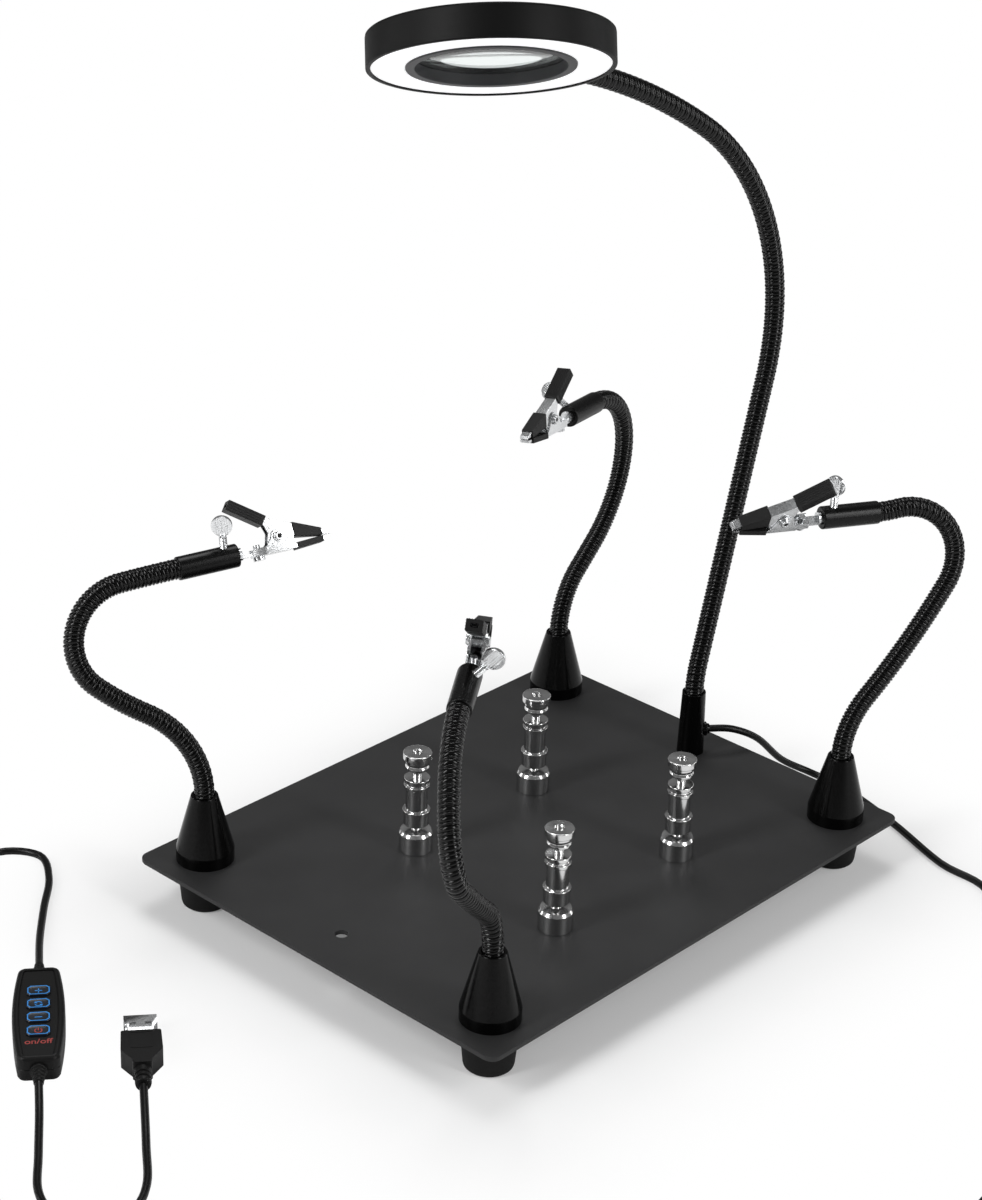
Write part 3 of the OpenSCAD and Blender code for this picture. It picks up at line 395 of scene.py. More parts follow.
def lathe_bmesh(profile, segments=64):
    """A closed outline of (radius, height) turned about +Z."""
    bm = bmesh.new()
    rings = []
    for radius, height in profile:
        if radius < 1e-6:
            rings.append([bm.verts.new((0, 0, height))])
            continue
        angles = [2 * math.pi * k / segments for k in range(segments)]
        rings.append([bm.verts.new((radius * math.cos(a), radius * math.sin(a), height)) for a in angles])
    for i, ring in enumerate(rings):
        other = rings[(i + 1) % len(rings)]
        for k in range(segments):
            corners = [ring[k % len(ring)], ring[(k + 1) % len(ring)],
                       other[(k + 1) % len(other)], other[k % len(other)]]
            corners = list(dict.fromkeys(corners))
            if len(corners) > 2:
                bm.faces.new(corners)
    return bm


def rod_bmesh(radius, low, high, segments):
    return lathe_bmesh([(0, low), (radius, low), (radius, high), (0, high)], segments)


def lathe(name, profile, place, radius, segments):
    return finish_mesh(name, lathe_bmesh(rounded(profile, radius), segments), place)


def prism_bmesh(outline, low, high, bevel=0.0, steps=2):
    """An outline in XY raised from low to high, with its edges rounded."""
    bm = bmesh.new()
    face = bm.faces.new([bm.verts.new((x, y, low)) for x, y in outline])
    top = bmesh.ops.extrude_face_region(bm, geom=[face])
    raised = [v for v in top["geom"] if isinstance(v, bmesh.types.BMVert)]
    bmesh.ops.translate(bm, vec=(0, 0, high - low), verts=raised)
    bmesh.ops.recalc_face_normals(bm, faces=bm.faces)
    if bevel > 0:
        bevel_edges(bm, bevel, steps)
    return bm


def bevel_edges(bm, width, steps=2, angle=EDGE_ANGLE):
    limit = math.radians(angle)
    sharp = [e for e in bm.edges if len(e.link_faces) == 2 and e.calc_face_angle(0) > limit]
    bmesh.ops.bevel(bm, geom=sharp, offset=width, offset_type="OFFSET", segments=steps, profile=0.5,
                    affect="EDGES", clamp_overlap=True)


def box_bmesh(low, high, bevel=0.0):
    outline = [(low[0], low[1]), (high[0], low[1]), (high[0], high[1]), (low[0], high[1])]
    return prism_bmesh(outline, low[2], high[2], bevel)


def loft_bmesh(rings, closed=False):
    """A skin through outlines with equal numbers of points: back to the first if closed, else with ends."""
    bm = bmesh.new()
    rows = [[bm.verts.new(p) for p in ring] for ring in rings]
    for low, high in zip(rows, rows[1:] + rows[:1] if closed else rows[1:]):
        for k in range(len(low)):
            n = (k + 1) % len(low)
            bm.faces.new((low[k], low[n], high[n], high[k]))
    if not closed:
        bm.faces.new(rows[0])
        bm.faces.new(rows[-1])
    return bm


def join_bmesh(target, other, place=IDENTITY):
    """Adds one bmesh to another."""
    other.transform(place)
    mesh = bpy.data.meshes.new("joined")
    other.to_mesh(mesh)
    other.free()
    target.from_mesh(mesh)
    bpy.data.meshes.remove(mesh)


def cut_bmesh(target, cutter):
    """Takes one bmesh away from another, exactly."""
    objects = []
    for bm in (target, cutter):
        mesh = bpy.data.meshes.new("part")
        bmesh.ops.recalc_face_normals(bm, faces=bm.faces)
        bm.to_mesh(mesh)
        bm.free()
        part = bpy.data.objects.new("part", mesh)
        bpy.context.collection.objects.link(part)
        objects.append(part)
    modifier = objects[0].modifiers.new("cut", "BOOLEAN")
    modifier.operation = "DIFFERENCE"
    modifier.solver = "EXACT"
    modifier.object = objects[1]
    graph = bpy.context.evaluated_depsgraph_get()
    result = bmesh.new()
    result.from_mesh(objects[0].evaluated_get(graph).to_mesh())
    for part in objects:
        bpy.data.objects.remove(part)
    return result


def dress(node, body, slot, bevel):
    """A CAD node's shape as a new piece with its flat facets joined and its edges rounded."""
    bm = bmesh.new()
    bm.from_mesh(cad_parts[node].data)
    bmesh.ops.transform(bm, matrix=Matrix.Scale(1 / MM, 4), verts=bm.verts)
    bmesh.ops.remove_doubles(bm, verts=bm.verts, dist=CAD_WELD)
    bmesh.ops.dissolve_limit(bm, angle_limit=math.radians(FLAT_ANGLE), verts=bm.verts, edges=bm.edges)
    bevel_edges(bm, bevel)
    add_piece(node + "_dressed", finish_mesh(node, bm, IDENTITY), body, slot, [node])


# ---------------------------------------------------------------- cords


def curve_point(p0, p1, p2, p3, t):
    return 0.5 * (2 * p1 + (p2 - p0) * t + (2 * p0 - 5 * p1 + 4 * p2 - p3) * t ** 2
                  + (3 * p1 - p0 - 3 * p2 + p3) * t ** 3)


def smooth_route(route, steps):
    """Points in metres on the smooth curve that the CAD model's cord follows."""
    points = [Vector(p) for p in route]
    last = len(points) - 1
    line = []
    for i in range(last):
        around = points[max(i - 1, 0)], points[i], points[i + 1], points[min(i + 2, last)]
        line += [curve_point(*around, k / steps) for k in range(steps)]
    return [p * MM for p in line + [points[last]]]


def case_end(side):
    reach = side * (CASE_LEN / 2 + RELIEF_LEN)
    turn = math.radians(LEAD_TURN)
    x, y = CASE_AT
    return (x - reach * math.sin(turn), y + reach * math.cos(turn), FLOOR_Z + CASE_T / 2)


EXIT = math.radians(EXIT_TURN)
CORD_START = (POST_X + GROMMET_OUT * math.cos(EXIT), GROMMET_OUT * math.sin(EXIT), EXIT_Z)
LAMP_CORD_ON_TABLE = (
    (150, -46), (141, -78), (129, -110), (124.5, -136), (92, -164), (40, -199), (-10, -233),
    (-44, -246.5), (-153, -246.5), (-261, -246), (-261, -219), (-183, -219), (-106, -219),
    (-106, -192), (-183, -192), (-261, -192), (-261, -165), (-161, -165), (-161, -138),
    (-240, -138), (-270, -112), (-274, -68), (-276, -24), (-268, 6), (-232, 66), (-178, 140),
    (-157, 155), (-138, 158), (-128, 145), (-136, 129), (-151, 113.5),
)
PLUG_CORD_ON_TABLE = (
    (-250, -7), (-262, -22), (-265.5, -35), (-259, -47), (-246, -51), (-234, -44), (-221, -28.5),
)
LAMP_CORD = [
    CORD_START, (115, -11, 9.3), (125, -17, 3.5), (138, -21, -10), (149, -29, -17.5),
    *[(x, y, CORD_Z) for x, y in LAMP_CORD_ON_TABLE], (-167, 96, -17.5), case_end(1),
]
PLUG_CORD = [
    case_end(-1), (-236, 10, -17.5), *[(x, y, CORD_Z) for x, y in PLUG_CORD_ON_TABLE],
    (-210, -15, -17), (PLUG_AT[0], PLUG_AT[1], FLOOR_Z + GRIP_T / 2),
]
CORD_STEPS = 6


def add_cord(name, node, route):
    """A round cord along a route, with its true length."""
    line = smooth_route(route, CORD_STEPS)
    data = bpy.data.curves.new(name, "CURVE")
    data.dimensions = "3D"
    data.bevel_depth = CORD_D * MM / 2
    data.bevel_resolution = 4
    data.use_fill_caps = True
    spline = data.splines.new("POLY")
    spline.points.add(len(line) - 1)
    for point, at in zip(spline.points, line):
        point.co = (*at, 1)
    data.materials.append(MATERIALS["cord_black"])
    cord = bpy.data.objects.new(name, data)
    bpy.context.collection.objects.link(cord)
    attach(cord, "base")
    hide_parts(node)
    return cord, line


lamp_cord, lamp_line = add_cord("cord_to_lamp", "lamp_cord", LAMP_CORD)
plug_cord, plug_line = add_cord("cord_to_plug", "plug_cord", PLUG_CORD)

# ---------------------------------------------------------------- base


def add_plate():
    bm = prism_bmesh(rounded(rectangle(PLATE_W, PLATE_D), PLATE_R, 8), -PLATE_T, 0)
    holes = [(x * POST_X, y * POST_Y, HOLE_D) for x in (-1, 1) for y in (-1, 1)]
    holes += [(POST_X, 0, HOLE_D), (-POST_X, 0, SPARE_HOLE_D)]
    for x, y, diameter in holes:
        drill = rod_bmesh(diameter / 2, -2 * PLATE_T, PLATE_T, 40)
        drill.transform(move(x, y))
        bm = cut_bmesh(bm, drill)
    bevel_edges(bm, 0.3, 2, 60)
    add_piece("plate", finish_mesh("plate", bm, IDENTITY), "base", "plate_steel", ["base_plate"])


NECK_BORE = NECK_D / 2 + 0.05     # radius of the hole that holds a neck


def add_at_corners(name, profile, slot, node):
    """The same turned shape at the plate's four corners, as one piece."""
    bm = bmesh.new()
    for x in (-POST_X, POST_X):
        for y in (-POST_Y, POST_Y):
            join_bmesh(bm, lathe_bmesh(rounded(profile, EDGE_R)), move(x, y))
    add_piece(name, finish_mesh(name, bm, IDENTITY), "base", slot, [node])


def add_base():
    add_plate()
    pocket_top, floor = FLOOR_Z + FOOT_POCKET_H, SOCKET_H - SOCKET_DEPTH
    add_at_corners("feet", [
        (HOLE_D / 2, -PLATE_T), (FOOT_D / 2, -PLATE_T), (FOOT_END_D / 2, FLOOR_Z, 2.5),
        (FOOT_POCKET_D / 2, FLOOR_Z), (FOOT_POCKET_D / 2, pocket_top, 0.1), (HOLE_D / 2, pocket_top, 0.1),
    ], "foot_rubber", "rubber_feet")
    add_at_corners("sockets", [
        (TAPPED_D / 2, 0, 0), (SOCKET_D / 2, 0, 0.2), (SOCKET_D / 2, SOCKET_COLLAR, 0.5),
        (SOCKET_TOP_D / 2, SOCKET_H, 0.5), (NECK_BORE, SOCKET_H, 0.3), (NECK_BORE, floor, 0),
        (TAPPED_D / 2, floor, 0),
    ], "socket_black", "arm_sockets")


def add_lamp_post():
    """The lamp's post, with the grommet that its cord comes out of."""
    floor = SOCKET_H - LAMP_DEPTH
    bm = lathe_bmesh(rounded([
        (TAPPED_D / 2, 0, 0), (POST_D / 2, 0, 0.2), (POST_D / 2, 1, 0.6), (POST_TOP_D / 2, SOCKET_H, 0.4),
        (NECK_BORE, SOCKET_H, 0.2), (NECK_BORE, floor, 0), (TAPPED_D / 2, floor, 0),
    ], EDGE_R))
    grommet = lathe_bmesh(rounded([
        (0, 3.4), (3, 3.4), (3, 6.2, 0.3), (2.3, 6.4), (2.1, GROMMET_OUT), (0, GROMMET_OUT),
    ], 0.25), 32)
    join_bmesh(bm, grommet, move(z=EXIT_Z) @ turn_about("Z", EXIT_TURN) @ turn_about("Y", 90))
    add_piece("lamp_stand", finish_mesh("lamp_stand", bm, move(POST_X)), "base", "socket_black",
              ["lamp_post"])


add_base()
add_lamp_post()

# ---------------------------------------------------------------- flexible necks

ARM_PITCH, LAMP_PITCH = 3.0, 3.1     # width of a broad wire with the narrow one wound beside it
BROAD = 5 / 8                        # the broad wire's share of the pitch
RIDGE_DEPTH = 0.75                   # from the neck's outside to the bottom between two wires
BROAD_DROP = 0.12                    # how far the broad wire lies below the narrow one
NECK_SIDES = 24                      # also the rows in a pitch, so that faces run along the wires
FLEX = 15                            # half the length that bends at a joint
HEAD_FLEX = 26                       # length of the lamp's neck that bends at the ring


def ridge_drop(phase):
    """How far below the neck's outside its surface lies, over one turn of its two wires."""
    if phase < BROAD:
        across, drop = 2 * phase / BROAD - 1, BROAD_DROP
    else:
        across, drop = 2 * (phase - BROAD) / (1 - BROAD) - 1, 0
    return drop + (RIDGE_DEPTH - drop) * (1 - math.sqrt(max(0, 1 - across ** 2)))


def neck_mesh(name, neck, start, end, pitch):
    """A stretch of neck, wound from a broad and a narrow wire, with its triangles along the wires."""
    bm = bmesh.new()
    row = pitch / NECK_SIDES
    stops = [start]
    stops += [k * row for k in range(math.floor(start / row) + 1, math.ceil(end / row))]
    stops.append(end)
    rings = []
    for s in stops:
        place = neck.at(s)
        ring = []
        for k in range(NECK_SIDES):
            angle = 2 * math.pi * k / NECK_SIDES
            turned = round((s / row - k) % NECK_SIDES, 6) % NECK_SIDES
            r = NECK_D / 2 - ridge_drop(turned / NECK_SIDES)
            ring.append(bm.verts.new(place @ Vector((r * math.cos(angle), r * math.sin(angle), 0))))
        rings.append(ring)
    for ring, after in zip(rings, rings[1:]):
        for k in range(NECK_SIDES):
            n = (k + 1) % NECK_SIDES
            bm.faces.new((ring[k], ring[n], after[n]))
            bm.faces.new((ring[k], after[n], after[k]))
    bm.faces.new(rings[0])
    bm.faces.new(rings[-1])
    return finish_mesh(name, bm, IDENTITY)


def add_neck(name, neck, pitch, bodies, nodes, bottom, top):
    """A neck in three stretches: one on each of its two bodies, and one between them on no body."""
    low, high = neck.join - FLEX, neck.join + FLEX
    add_piece(name + "_lower", neck_mesh(name, neck, bottom, low, pitch), bodies[0], "neck_black",
              [nodes[0]], weighted=False)
    add_piece(name + "_upper", neck_mesh(name, neck, high, top, pitch), bodies[1], "neck_black",
              [nodes[1]], weighted=False)
    middle = add_piece(name + "_flex", neck_mesh(name, neck, low, high, pitch), None, "neck_black",
                       weighted=False)
    neck.point(low + 1)
    neck.point(high - 1)
    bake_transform(middle)


def add_arm_neck(arm):
    neck = arm_neck(arm)
    add_neck(arm + "_gooseneck", neck, ARM_PITCH, [arm + "_arm_lower", arm + "_arm_upper"],
             [arm + "_neck_lower", arm + "_neck_upper"], 1 - SOCKET_DEPTH, neck.length + 2)


def add_lamp_neck():
    flex_from = LAMP.length - HEAD_FLEX
    add_neck("lamp_gooseneck", LAMP, LAMP_PITCH, ["lamp_lower", "lamp_upper"],
             ["lamp_neck_lower", "lamp_neck_upper"], 1 - LAMP_DEPTH, flex_from)
    mesh = neck_mesh("tip", LAMP, flex_from, LAMP.length + RING_STUB, LAMP_PITCH)
    tip = add_piece("lamp_gooseneck_tip", mesh, None, "neck_black", weighted=False)
    LAMP.point(flex_from + 1)
    LAMP.point(LAMP.length - 1)
    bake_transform(tip)


for arm_name in ARMS:
    add_arm_neck(arm_name)
add_lamp_neck()

# ---------------------------------------------------------------- clamp tubes and thumbscrews


THREAD_PITCH, THREAD_DEPTH, THREAD_START = 0.5, 0.2, 2.55
HEAD_STEPS = 14                      # rings in a face of the thumbscrew's head
GROOVE_PITCH, GROOVE_DEPTH, GROOVE_BAND = 0.8, 0.2, 2.4


def add_clamp_tube(arm):
    bore = TUBE_BORE / 2 + 0.05
    tube = lathe_bmesh(rounded([
        (bore, -TUBE_LEN), (TUBE_D / 2, -TUBE_LEN, 0.7), (TUBE_D / 2, 0, 0.6), (bore, 0),
    ], 0.15), 48)
    drill = rod_bmesh(THUMB_D / 2 + 0.15, 0, TUBE_D, 24)
    drill.transform(move(z=-THUMB_BACK) @ turn_about("Y", 90))
    tube = cut_bmesh(tube, drill)
    mesh = finish_mesh("clamp_tube", tube, at_tube(arm))
    add_piece(arm + "_tube", mesh, arm + "_arm_upper", "tube_black", [arm + "_clamp_tube"])


def screw_head():
    """A flat disc across the shank, with a band of grooves over both faces."""
    radius, half = THUMB_HEAD_D / 2, THUMB_HEAD_T / 2
    under = [(radius * k / HEAD_STEPS, -half) for k in range(HEAD_STEPS)]
    under += [(radius - 0.1, -half + 0.02), (radius, -half + 0.35)]
    bm = lathe_bmesh(under + [(r, -z) for r, z in reversed(under)], 72)
    for vert in bm.verts:
        on_face = abs(vert.co.z) > half - 0.03 and vert.co.xy.length < radius - 0.2
        if on_face and abs(vert.co.x) < GROOVE_BAND:
            wave = 1 + math.sin(vert.co.x * 2 * math.pi / GROOVE_PITCH)
            vert.co.z -= math.copysign(GROOVE_DEPTH / 2 * wave, vert.co.z)
    return bm


def add_thumbscrew(arm):
    radius, end = THUMB_D / 2, THUMB_RISE - THUMB_HEAD_D / 2 + 0.3
    thread = []
    for i in range(int((end - THREAD_START) / THREAD_PITCH)):
        z = THREAD_START + i * THREAD_PITCH
        thread += [(radius - THREAD_DEPTH, z), (radius, z + THREAD_PITCH / 2)]
    bm = lathe_bmesh([(0, THREAD_START), *thread, (radius, end), (0, end)], 32)
    join_bmesh(bm, screw_head(), move(z=THUMB_RISE) @ turn_about("X", 90))
    place = at_tube(arm) @ move(z=-THUMB_BACK) @ turn_about("Y", 90) @ turn_about("Z", ARMS[arm][1][2])
    mesh = finish_mesh("thumbscrew", bm, place)
    add_piece(arm + "_wing_screw", mesh, arm + "_screw", "thumbscrew_steel", [arm + "_thumbscrew"])


PIVOT = (16.7, 3.4)      # of the clip's rivet: along the clip, and up from its axis
CHEEK_REAR = (14, 11)    # where the handle starts
HANDLE_RISE, HANDLE_LEN, HANDLE_T = math.radians(36), 15, 3
CLIP_HALF, INNER_HALF, SLEEVE_WALL = 3.1, 2.4, 0.6


def on_handle():
    """Place on a clip's handle, with +X along it to its end and +Z from its top into its channel."""
    rise, run = math.sin(HANDLE_RISE), math.cos(HANDLE_RISE)
    return Matrix((
        (rise, 0, -run, CHEEK_REAR[1]),
        (0, -1, 0, 0),
        (-run, 0, -rise, CHEEK_REAR[0]),
        (0, 0, 0, 1),
    ))


def add_grip_ribs(arm):
    """Fine ribs along the top and both sides of the handle's sleeve."""
    bm = bmesh.new()
    half, proud, sunk, wide = INNER_HALF + SLEEVE_WALL, 0.16, 0.1, 0.22
    start, end = 2, HANDLE_LEN + 0.2
    for y in range(-2, 3):
        low = (start, y - wide, -SLEEVE_WALL - proud)
        high = (end, y + wide, -SLEEVE_WALL + sunk)
        join_bmesh(bm, box_bmesh(low, high, 0.1))
    for side in (-1, 1):
        inner, outer = sorted((side * (half - sunk), side * (half + proud)))
        for z in range(HANDLE_T + 1):
            join_bmesh(bm, box_bmesh((start, inner, z - wide), (end, outer, z + wide), 0.1))
    mesh = finish_mesh("ribs", bm, at_clip(arm) @ on_handle())
    add_piece(arm + "_handle_ribs", mesh, arm + "_jaw", "sleeve_vinyl")


def add_eyelets(arm):
    """The rolled edge of the hollow rivet on both cheeks, with a black disc in its bore as painted shade.
    """
    rim = rounded([(0.8, -0.2), (1.75, -0.2), (1.75, 0.5, 0.25), (0.8, 0.5, 0.2)], 0.1)
    # a black disc that plugs the bore: painted shade for the hollow rivet's dark inside
    bore = [(0, -0.2), (0.82, -0.2), (0.82, 0.12), (0, 0.12)]
    at_rivet = at_clip(arm) @ move(PIVOT[1], 0, PIVOT[0])
    for name, profile, finish in (("rim", rim, "fitting_steel"), ("bore", bore, "sleeve_vinyl")):
        bm = bmesh.new()
        for side in (-1, 1):
            turn = turn_about("X", -90 * side)
            join_bmesh(bm, lathe_bmesh(profile, 32), move(y=side * (CLIP_HALF + 0.65)) @ turn)
        add_piece(f"{arm}_rivet_{name}", finish_mesh(name, bm, at_rivet), arm + "_clip",
                  "fitting_steel", finish=finish)


def add_clip(arm):
    dress(arm + "_lower_jaw", arm + "_clip", "clip_steel", 0.12)
    dress(arm + "_upper_jaw", arm + "_jaw", "clip_steel", 0.12)
    dress(arm + "_lower_sleeve", arm + "_clip", "sleeve_vinyl", 0.3)
    dress(arm + "_upper_sleeves", arm + "_jaw", "sleeve_vinyl", 0.3)
    dress(arm + "_clip_fittings", arm + "_clip", "fitting_steel", 0.1)
    add_grip_ribs(arm)
    add_eyelets(arm)


for arm_name in ARMS:
    add_clamp_tube(arm_name)
    add_thumbscrew(arm_name)
    add_clip(arm_name)

# ---------------------------------------------------------------- pillars


def pillar_profile():
    """A magnet's base, a spool with its rings, and a head with a socket; from the bottom up."""
    b, head, h = PILLAR_BASE_D / 2, PILLAR_HEAD_D / 2, PILLAR_H
    stem, shaft, rim, drum = 1.8, 4.3, 5, 4.7
    return [
        (0, 0), (b, 0, 0.3), (b, 7.6, 0.3), (b - 0.7, 8.8, 0.2), (stem, 9), (stem, 11.4),
        (rim, 11.5, 0.3), (rim, 16.1, 0.15), (rim + 0.4, 16.3, 0.2), (rim + 0.4, 18, 0.3), (shaft, 18.2),
        (shaft, h - 15.8), (rim, h - 15.6, 0.25), (rim, h - 14, 0.25), (shaft, h - 13.8),
        (shaft, h - 12.8), (rim, h - 12.6, 0.2), (rim, h - 11, 0.3), (stem, h - 10.9), (stem, h - 7.1),
        (drum, h - 7, 0.3), (drum, h - 6, 0.2), (shaft, h - 5, 0.6), (drum, h - 4, 0.2),
        (drum, h - 2.9), (head, h - 2.7, 0.25), (head, h, 0.35), (2.2, h, 0.1), (1.7, h - 0.5, 0.1),
        (1.7, h - 2, 0.1), (0, h - 2),
    ]


def add_pillar(name):
    mesh = lathe("pillar", pillar_profile(), move(*PILLARS[name]), 0.22, 72)
    add_piece(name + "_post", mesh, name + "_pillar", "pillar_chrome", [name + "_pillar"])


for pillar_name in PILLARS:
    add_pillar(pillar_name)

# ---------------------------------------------------------------- ring lamp

RING_R, VIEW_R = RING_D / 2, LENS_VIEW_D / 2
LENS_R = VIEW_R + 1.7
INNER_R = LENS_R + 1.5
LENS_Z, LENS_RIM_T, LENS_T = 4, 2.4, 4.6
PLAY = 0.05
DIFFUSER_LOW, DIFFUSER_HIGH = 0.5, 1.9
RING_SIDES, LENS_STEPS = 160, 16


def add_ring_part(name, profile, slot, node):
    mesh = lathe(name, profile, AT_RING, EDGE_R, RING_SIDES)
    add_piece(name, mesh, "lamp_head", slot, [node])


def add_ring():
    seat, wall_r, ceiling = LENS_Z + LENS_RIM_T, RING_R - RING_WALL, RING_H - RING_WALL
    add_ring_part("ring_shell", [
        (wall_r, 0, 0.2), (RING_R, 0, 0.5), (RING_R, RING_H, 1.2), (VIEW_R, RING_H, 0.5),
        (VIEW_R, seat, 0.2), (LENS_R + PLAY, seat, 0), (LENS_R + PLAY, RING_WALL, 0),
        (INNER_R, RING_WALL, 0), (INNER_R, ceiling, 0), (wall_r, ceiling, 0),
    ], "lamp_housing", "ring_housing")
    inside, outside = INNER_R + PLAY, wall_r - PLAY
    add_ring_part("ring_diffuser", [
        (inside, DIFFUSER_LOW), (outside, DIFFUSER_LOW), (outside, DIFFUSER_HIGH), (inside, DIFFUSER_HIGH),
    ], "diffuser", "ring_light_panel")
    add_ring_part("lens_rim", [
        (VIEW_R, 0, 0.3), (INNER_R, 0, 0.3), (INNER_R, RING_WALL, 0), (LENS_R, RING_WALL, 0),
        (LENS_R, LENS_Z, 0), (VIEW_R, LENS_Z, 0),
    ], "bezel_grey", "lens_bezel")


def add_lens():
    """A lens that is domed on both sides, with a cylindrical rim."""
    dome, top = (LENS_T - LENS_RIM_T) / 2, LENS_Z + LENS_RIM_T
    shares = [k / LENS_STEPS for k in range(LENS_STEPS + 1)]
    under = [((VIEW_R - 0.2) * share, LENS_Z - dome * (1 - share ** 2)) for share in shares]
    over = [(r, LENS_Z + top - z) for r, z in reversed(under)]
    bm = lathe_bmesh([*under, (LENS_R, LENS_Z), (LENS_R, top), *over], RING_SIDES)
    add_piece("lens", finish_mesh("lens", bm, AT_RING), "lamp_head", "lens_glass", ["magnifier_lens"])


add_ring()
add_lens()

# ---------------------------------------------------------------- controller and plug

CASE_BULGE = 2.2
CASE_CORNER = 3.2
CASE_SIDE_STEPS, CASE_CORNER_STEPS = 24, 8
BUTTON_W, BUTTON_L, BUTTON_PITCH, BUTTON_CUT = 8.6, 6, 8.4, 1.3
BUTTONS = ("brighter", "colour", "dimmer", "power")
WORDS_GAP = 4.2          # from the last button to the foot of the words below it


def case_half_width(y):
    """Half the case's width at y, along its bulging side."""
    r = (CASE_LEN ** 2 / 4 + CASE_BULGE ** 2) / (2 * CASE_BULGE)
    return math.sqrt(r ** 2 - y ** 2) - r + CASE_W / 2


def case_ring(inset, z):
    """The case's outline at a height: bulging sides, rounded corners, and a margin inside it."""
    end = CASE_LEN / 2 - inset
    corner = max(0.8, CASE_CORNER - inset)
    along = [(end - corner) * (2 * k / CASE_SIDE_STEPS - 1) for k in range(CASE_SIDE_STEPS + 1)]
    side = [(case_half_width(y) - inset, y) for y in along]
    x = side[-1][0] - corner
    angles = [math.radians(90 * (k + 1) / CASE_CORNER_STEPS) for k in range(CASE_CORNER_STEPS)]
    turn = [(x + corner * math.cos(a), end - corner + corner * math.sin(a)) for a in angles]
    right = [(px, -py) for px, py in reversed(turn)] + side + turn
    return [(px, py, z) for px, py in right + [(-px, -py) for px, py in right]]


def relief_bmesh():
    """A short collar and a ribbed sleeve at an end of the case, along +Z."""
    cord, collar = CORD_D / 2, CORD_D / 2 + 1.6
    profile = [(0, -1.2), (collar, -1.2), (collar, 1.3, 0.3), (cord + 1.1, 1.5, 0.1)]
    for k in range(3):
        z, r = 2.2 + 1.8 * k, cord + (1.1 - 0.25 * k)
        profile += [(r, z, 0.1), (r - 0.35, z + 0.25, 0.1), (r - 0.35, z + 0.75, 0.1)]
        profile.append((r - 0.2, z + 1, 0.1))
    profile += [(cord + 0.3, RELIEF_LEN, 0.2), (0, RELIEF_LEN)]
    return lathe_bmesh(rounded(profile, 0.1), 32)


def button_outline(margin):
    """A rectangle with cut corners, and a margin outside it."""
    x, y, cut = BUTTON_W / 2 + margin, BUTTON_L / 2 + margin, BUTTON_CUT + 0.4 * margin
    half = [(-x + cut, -y), (x - cut, -y), (x, -y + cut), (x, y - cut)]
    return half + [(-px, -py) for px, py in half]


def frame_bmesh(outer, inner, low, high):
    """A flat frame between two outlines with equal numbers of points."""
    sides = ((outer, low), (outer, high), (inner, high), (inner, low))
    return loft_bmesh([[(x, y, z) for x, y in outline] for outline, z in sides], closed=True)


def arc_bmesh(radius, wide, start, end, low, high, steps=16):
    """A curved bar from one angle to another, in degrees."""
    inner, outer = radius - wide / 2, radius + wide / 2
    section = ((inner, low), (outer, low), (outer, high), (inner, high))
    rings = []
    for k in range(steps + 1):
        a = math.radians(start + (end - start) * k / steps)
        rings.append([(r * math.cos(a), r * math.sin(a), z) for r, z in section])
    return loft_bmesh(rings)


def icon_bmesh(name, low, high):
    """The raised sign of a button: plus, two arrows in a ring, minus, or a switch."""
    bm = bmesh.new()
    long, wide, radius = 1.35, 0.2, 1.25
    if name in ("brighter", "dimmer"):
        join_bmesh(bm, box_bmesh((-long, -wide, low), (long, wide, high)))
    if name == "brighter":
        join_bmesh(bm, box_bmesh((-wide, -long, low), (wide, long, high)))
    if name == "colour":
        for turn in (0, 180):
            join_bmesh(bm, arc_bmesh(radius, 2 * wide, 20, 130, low, high), turn_about("Z", turn))
            head = prism_bmesh([(-0.75, 0), (0.75, 0), (0, 0.95)], low, high)
            join_bmesh(bm, head, turn_about("Z", 130 + turn) @ move(radius))
    if name == "power":
        join_bmesh(bm, arc_bmesh(radius, 2 * wide, 125, 415, low, high, 24))
        join_bmesh(bm, box_bmesh((-wide, 0.1, low), (wide, 1.6, high)))
    return bm


def button_y(index):
    """Middle of a button along the case."""
    return ((len(BUTTONS) - 1) / 2 - index) * BUTTON_PITCH + 0.35


def add_button(index, name):
    """A key with a dished top, a coloured line round it and its sign."""
    top = CASE_T + 0.4
    place = AT_CASE @ move(y=button_y(index))
    levels = [(0, CASE_T - 1.5), (0, top - 0.3), (-0.25, top), (-0.75, top), (-1.2, top - 0.35)]
    body = loft_bmesh([[(x, y, z) for x, y in button_outline(margin)] for margin, z in levels])
    add_piece(name + "_key", finish_mesh(name, body, place), name + "_button", "button_dark",
              [name + "_button"])
    edge = frame_bmesh(button_outline(-0.28), button_outline(-0.7), top - 0.05, top + 0.03)
    add_piece(name + "_key_edge", finish_mesh("edge", edge, place), name + "_button", "button_dark",
              finish="print_blue")
    icon = icon_bmesh(name, top - 0.36, top - 0.27)
    add_piece(name + "_key_sign", finish_mesh("sign", icon, place), name + "_button", "button_dark",
              finish="print_red" if name == "power" else "print_blue")


def add_lettering():
    """The words under the power button."""
    data = bpy.data.curves.new("words", "FONT")
    data.body = "on/off"
    data.size = 4.1
    data.align_x = "CENTER"
    data.extrude = 0.03
    data.offset = 0.04
    words = bpy.data.objects.new("words", data)
    bpy.context.collection.objects.link(words)
    graph = bpy.context.evaluated_depsgraph_get()
    bm = bmesh.new()
    bm.from_mesh(words.evaluated_get(graph).to_mesh())
    bpy.data.objects.remove(words)
    place = AT_CASE @ move(0, button_y(len(BUTTONS) - 1) - BUTTON_L / 2 - WORDS_GAP, CASE_T - 0.5)
    add_piece("words", finish_mesh("words", bm, place), "base", "case_black", finish="print_red")


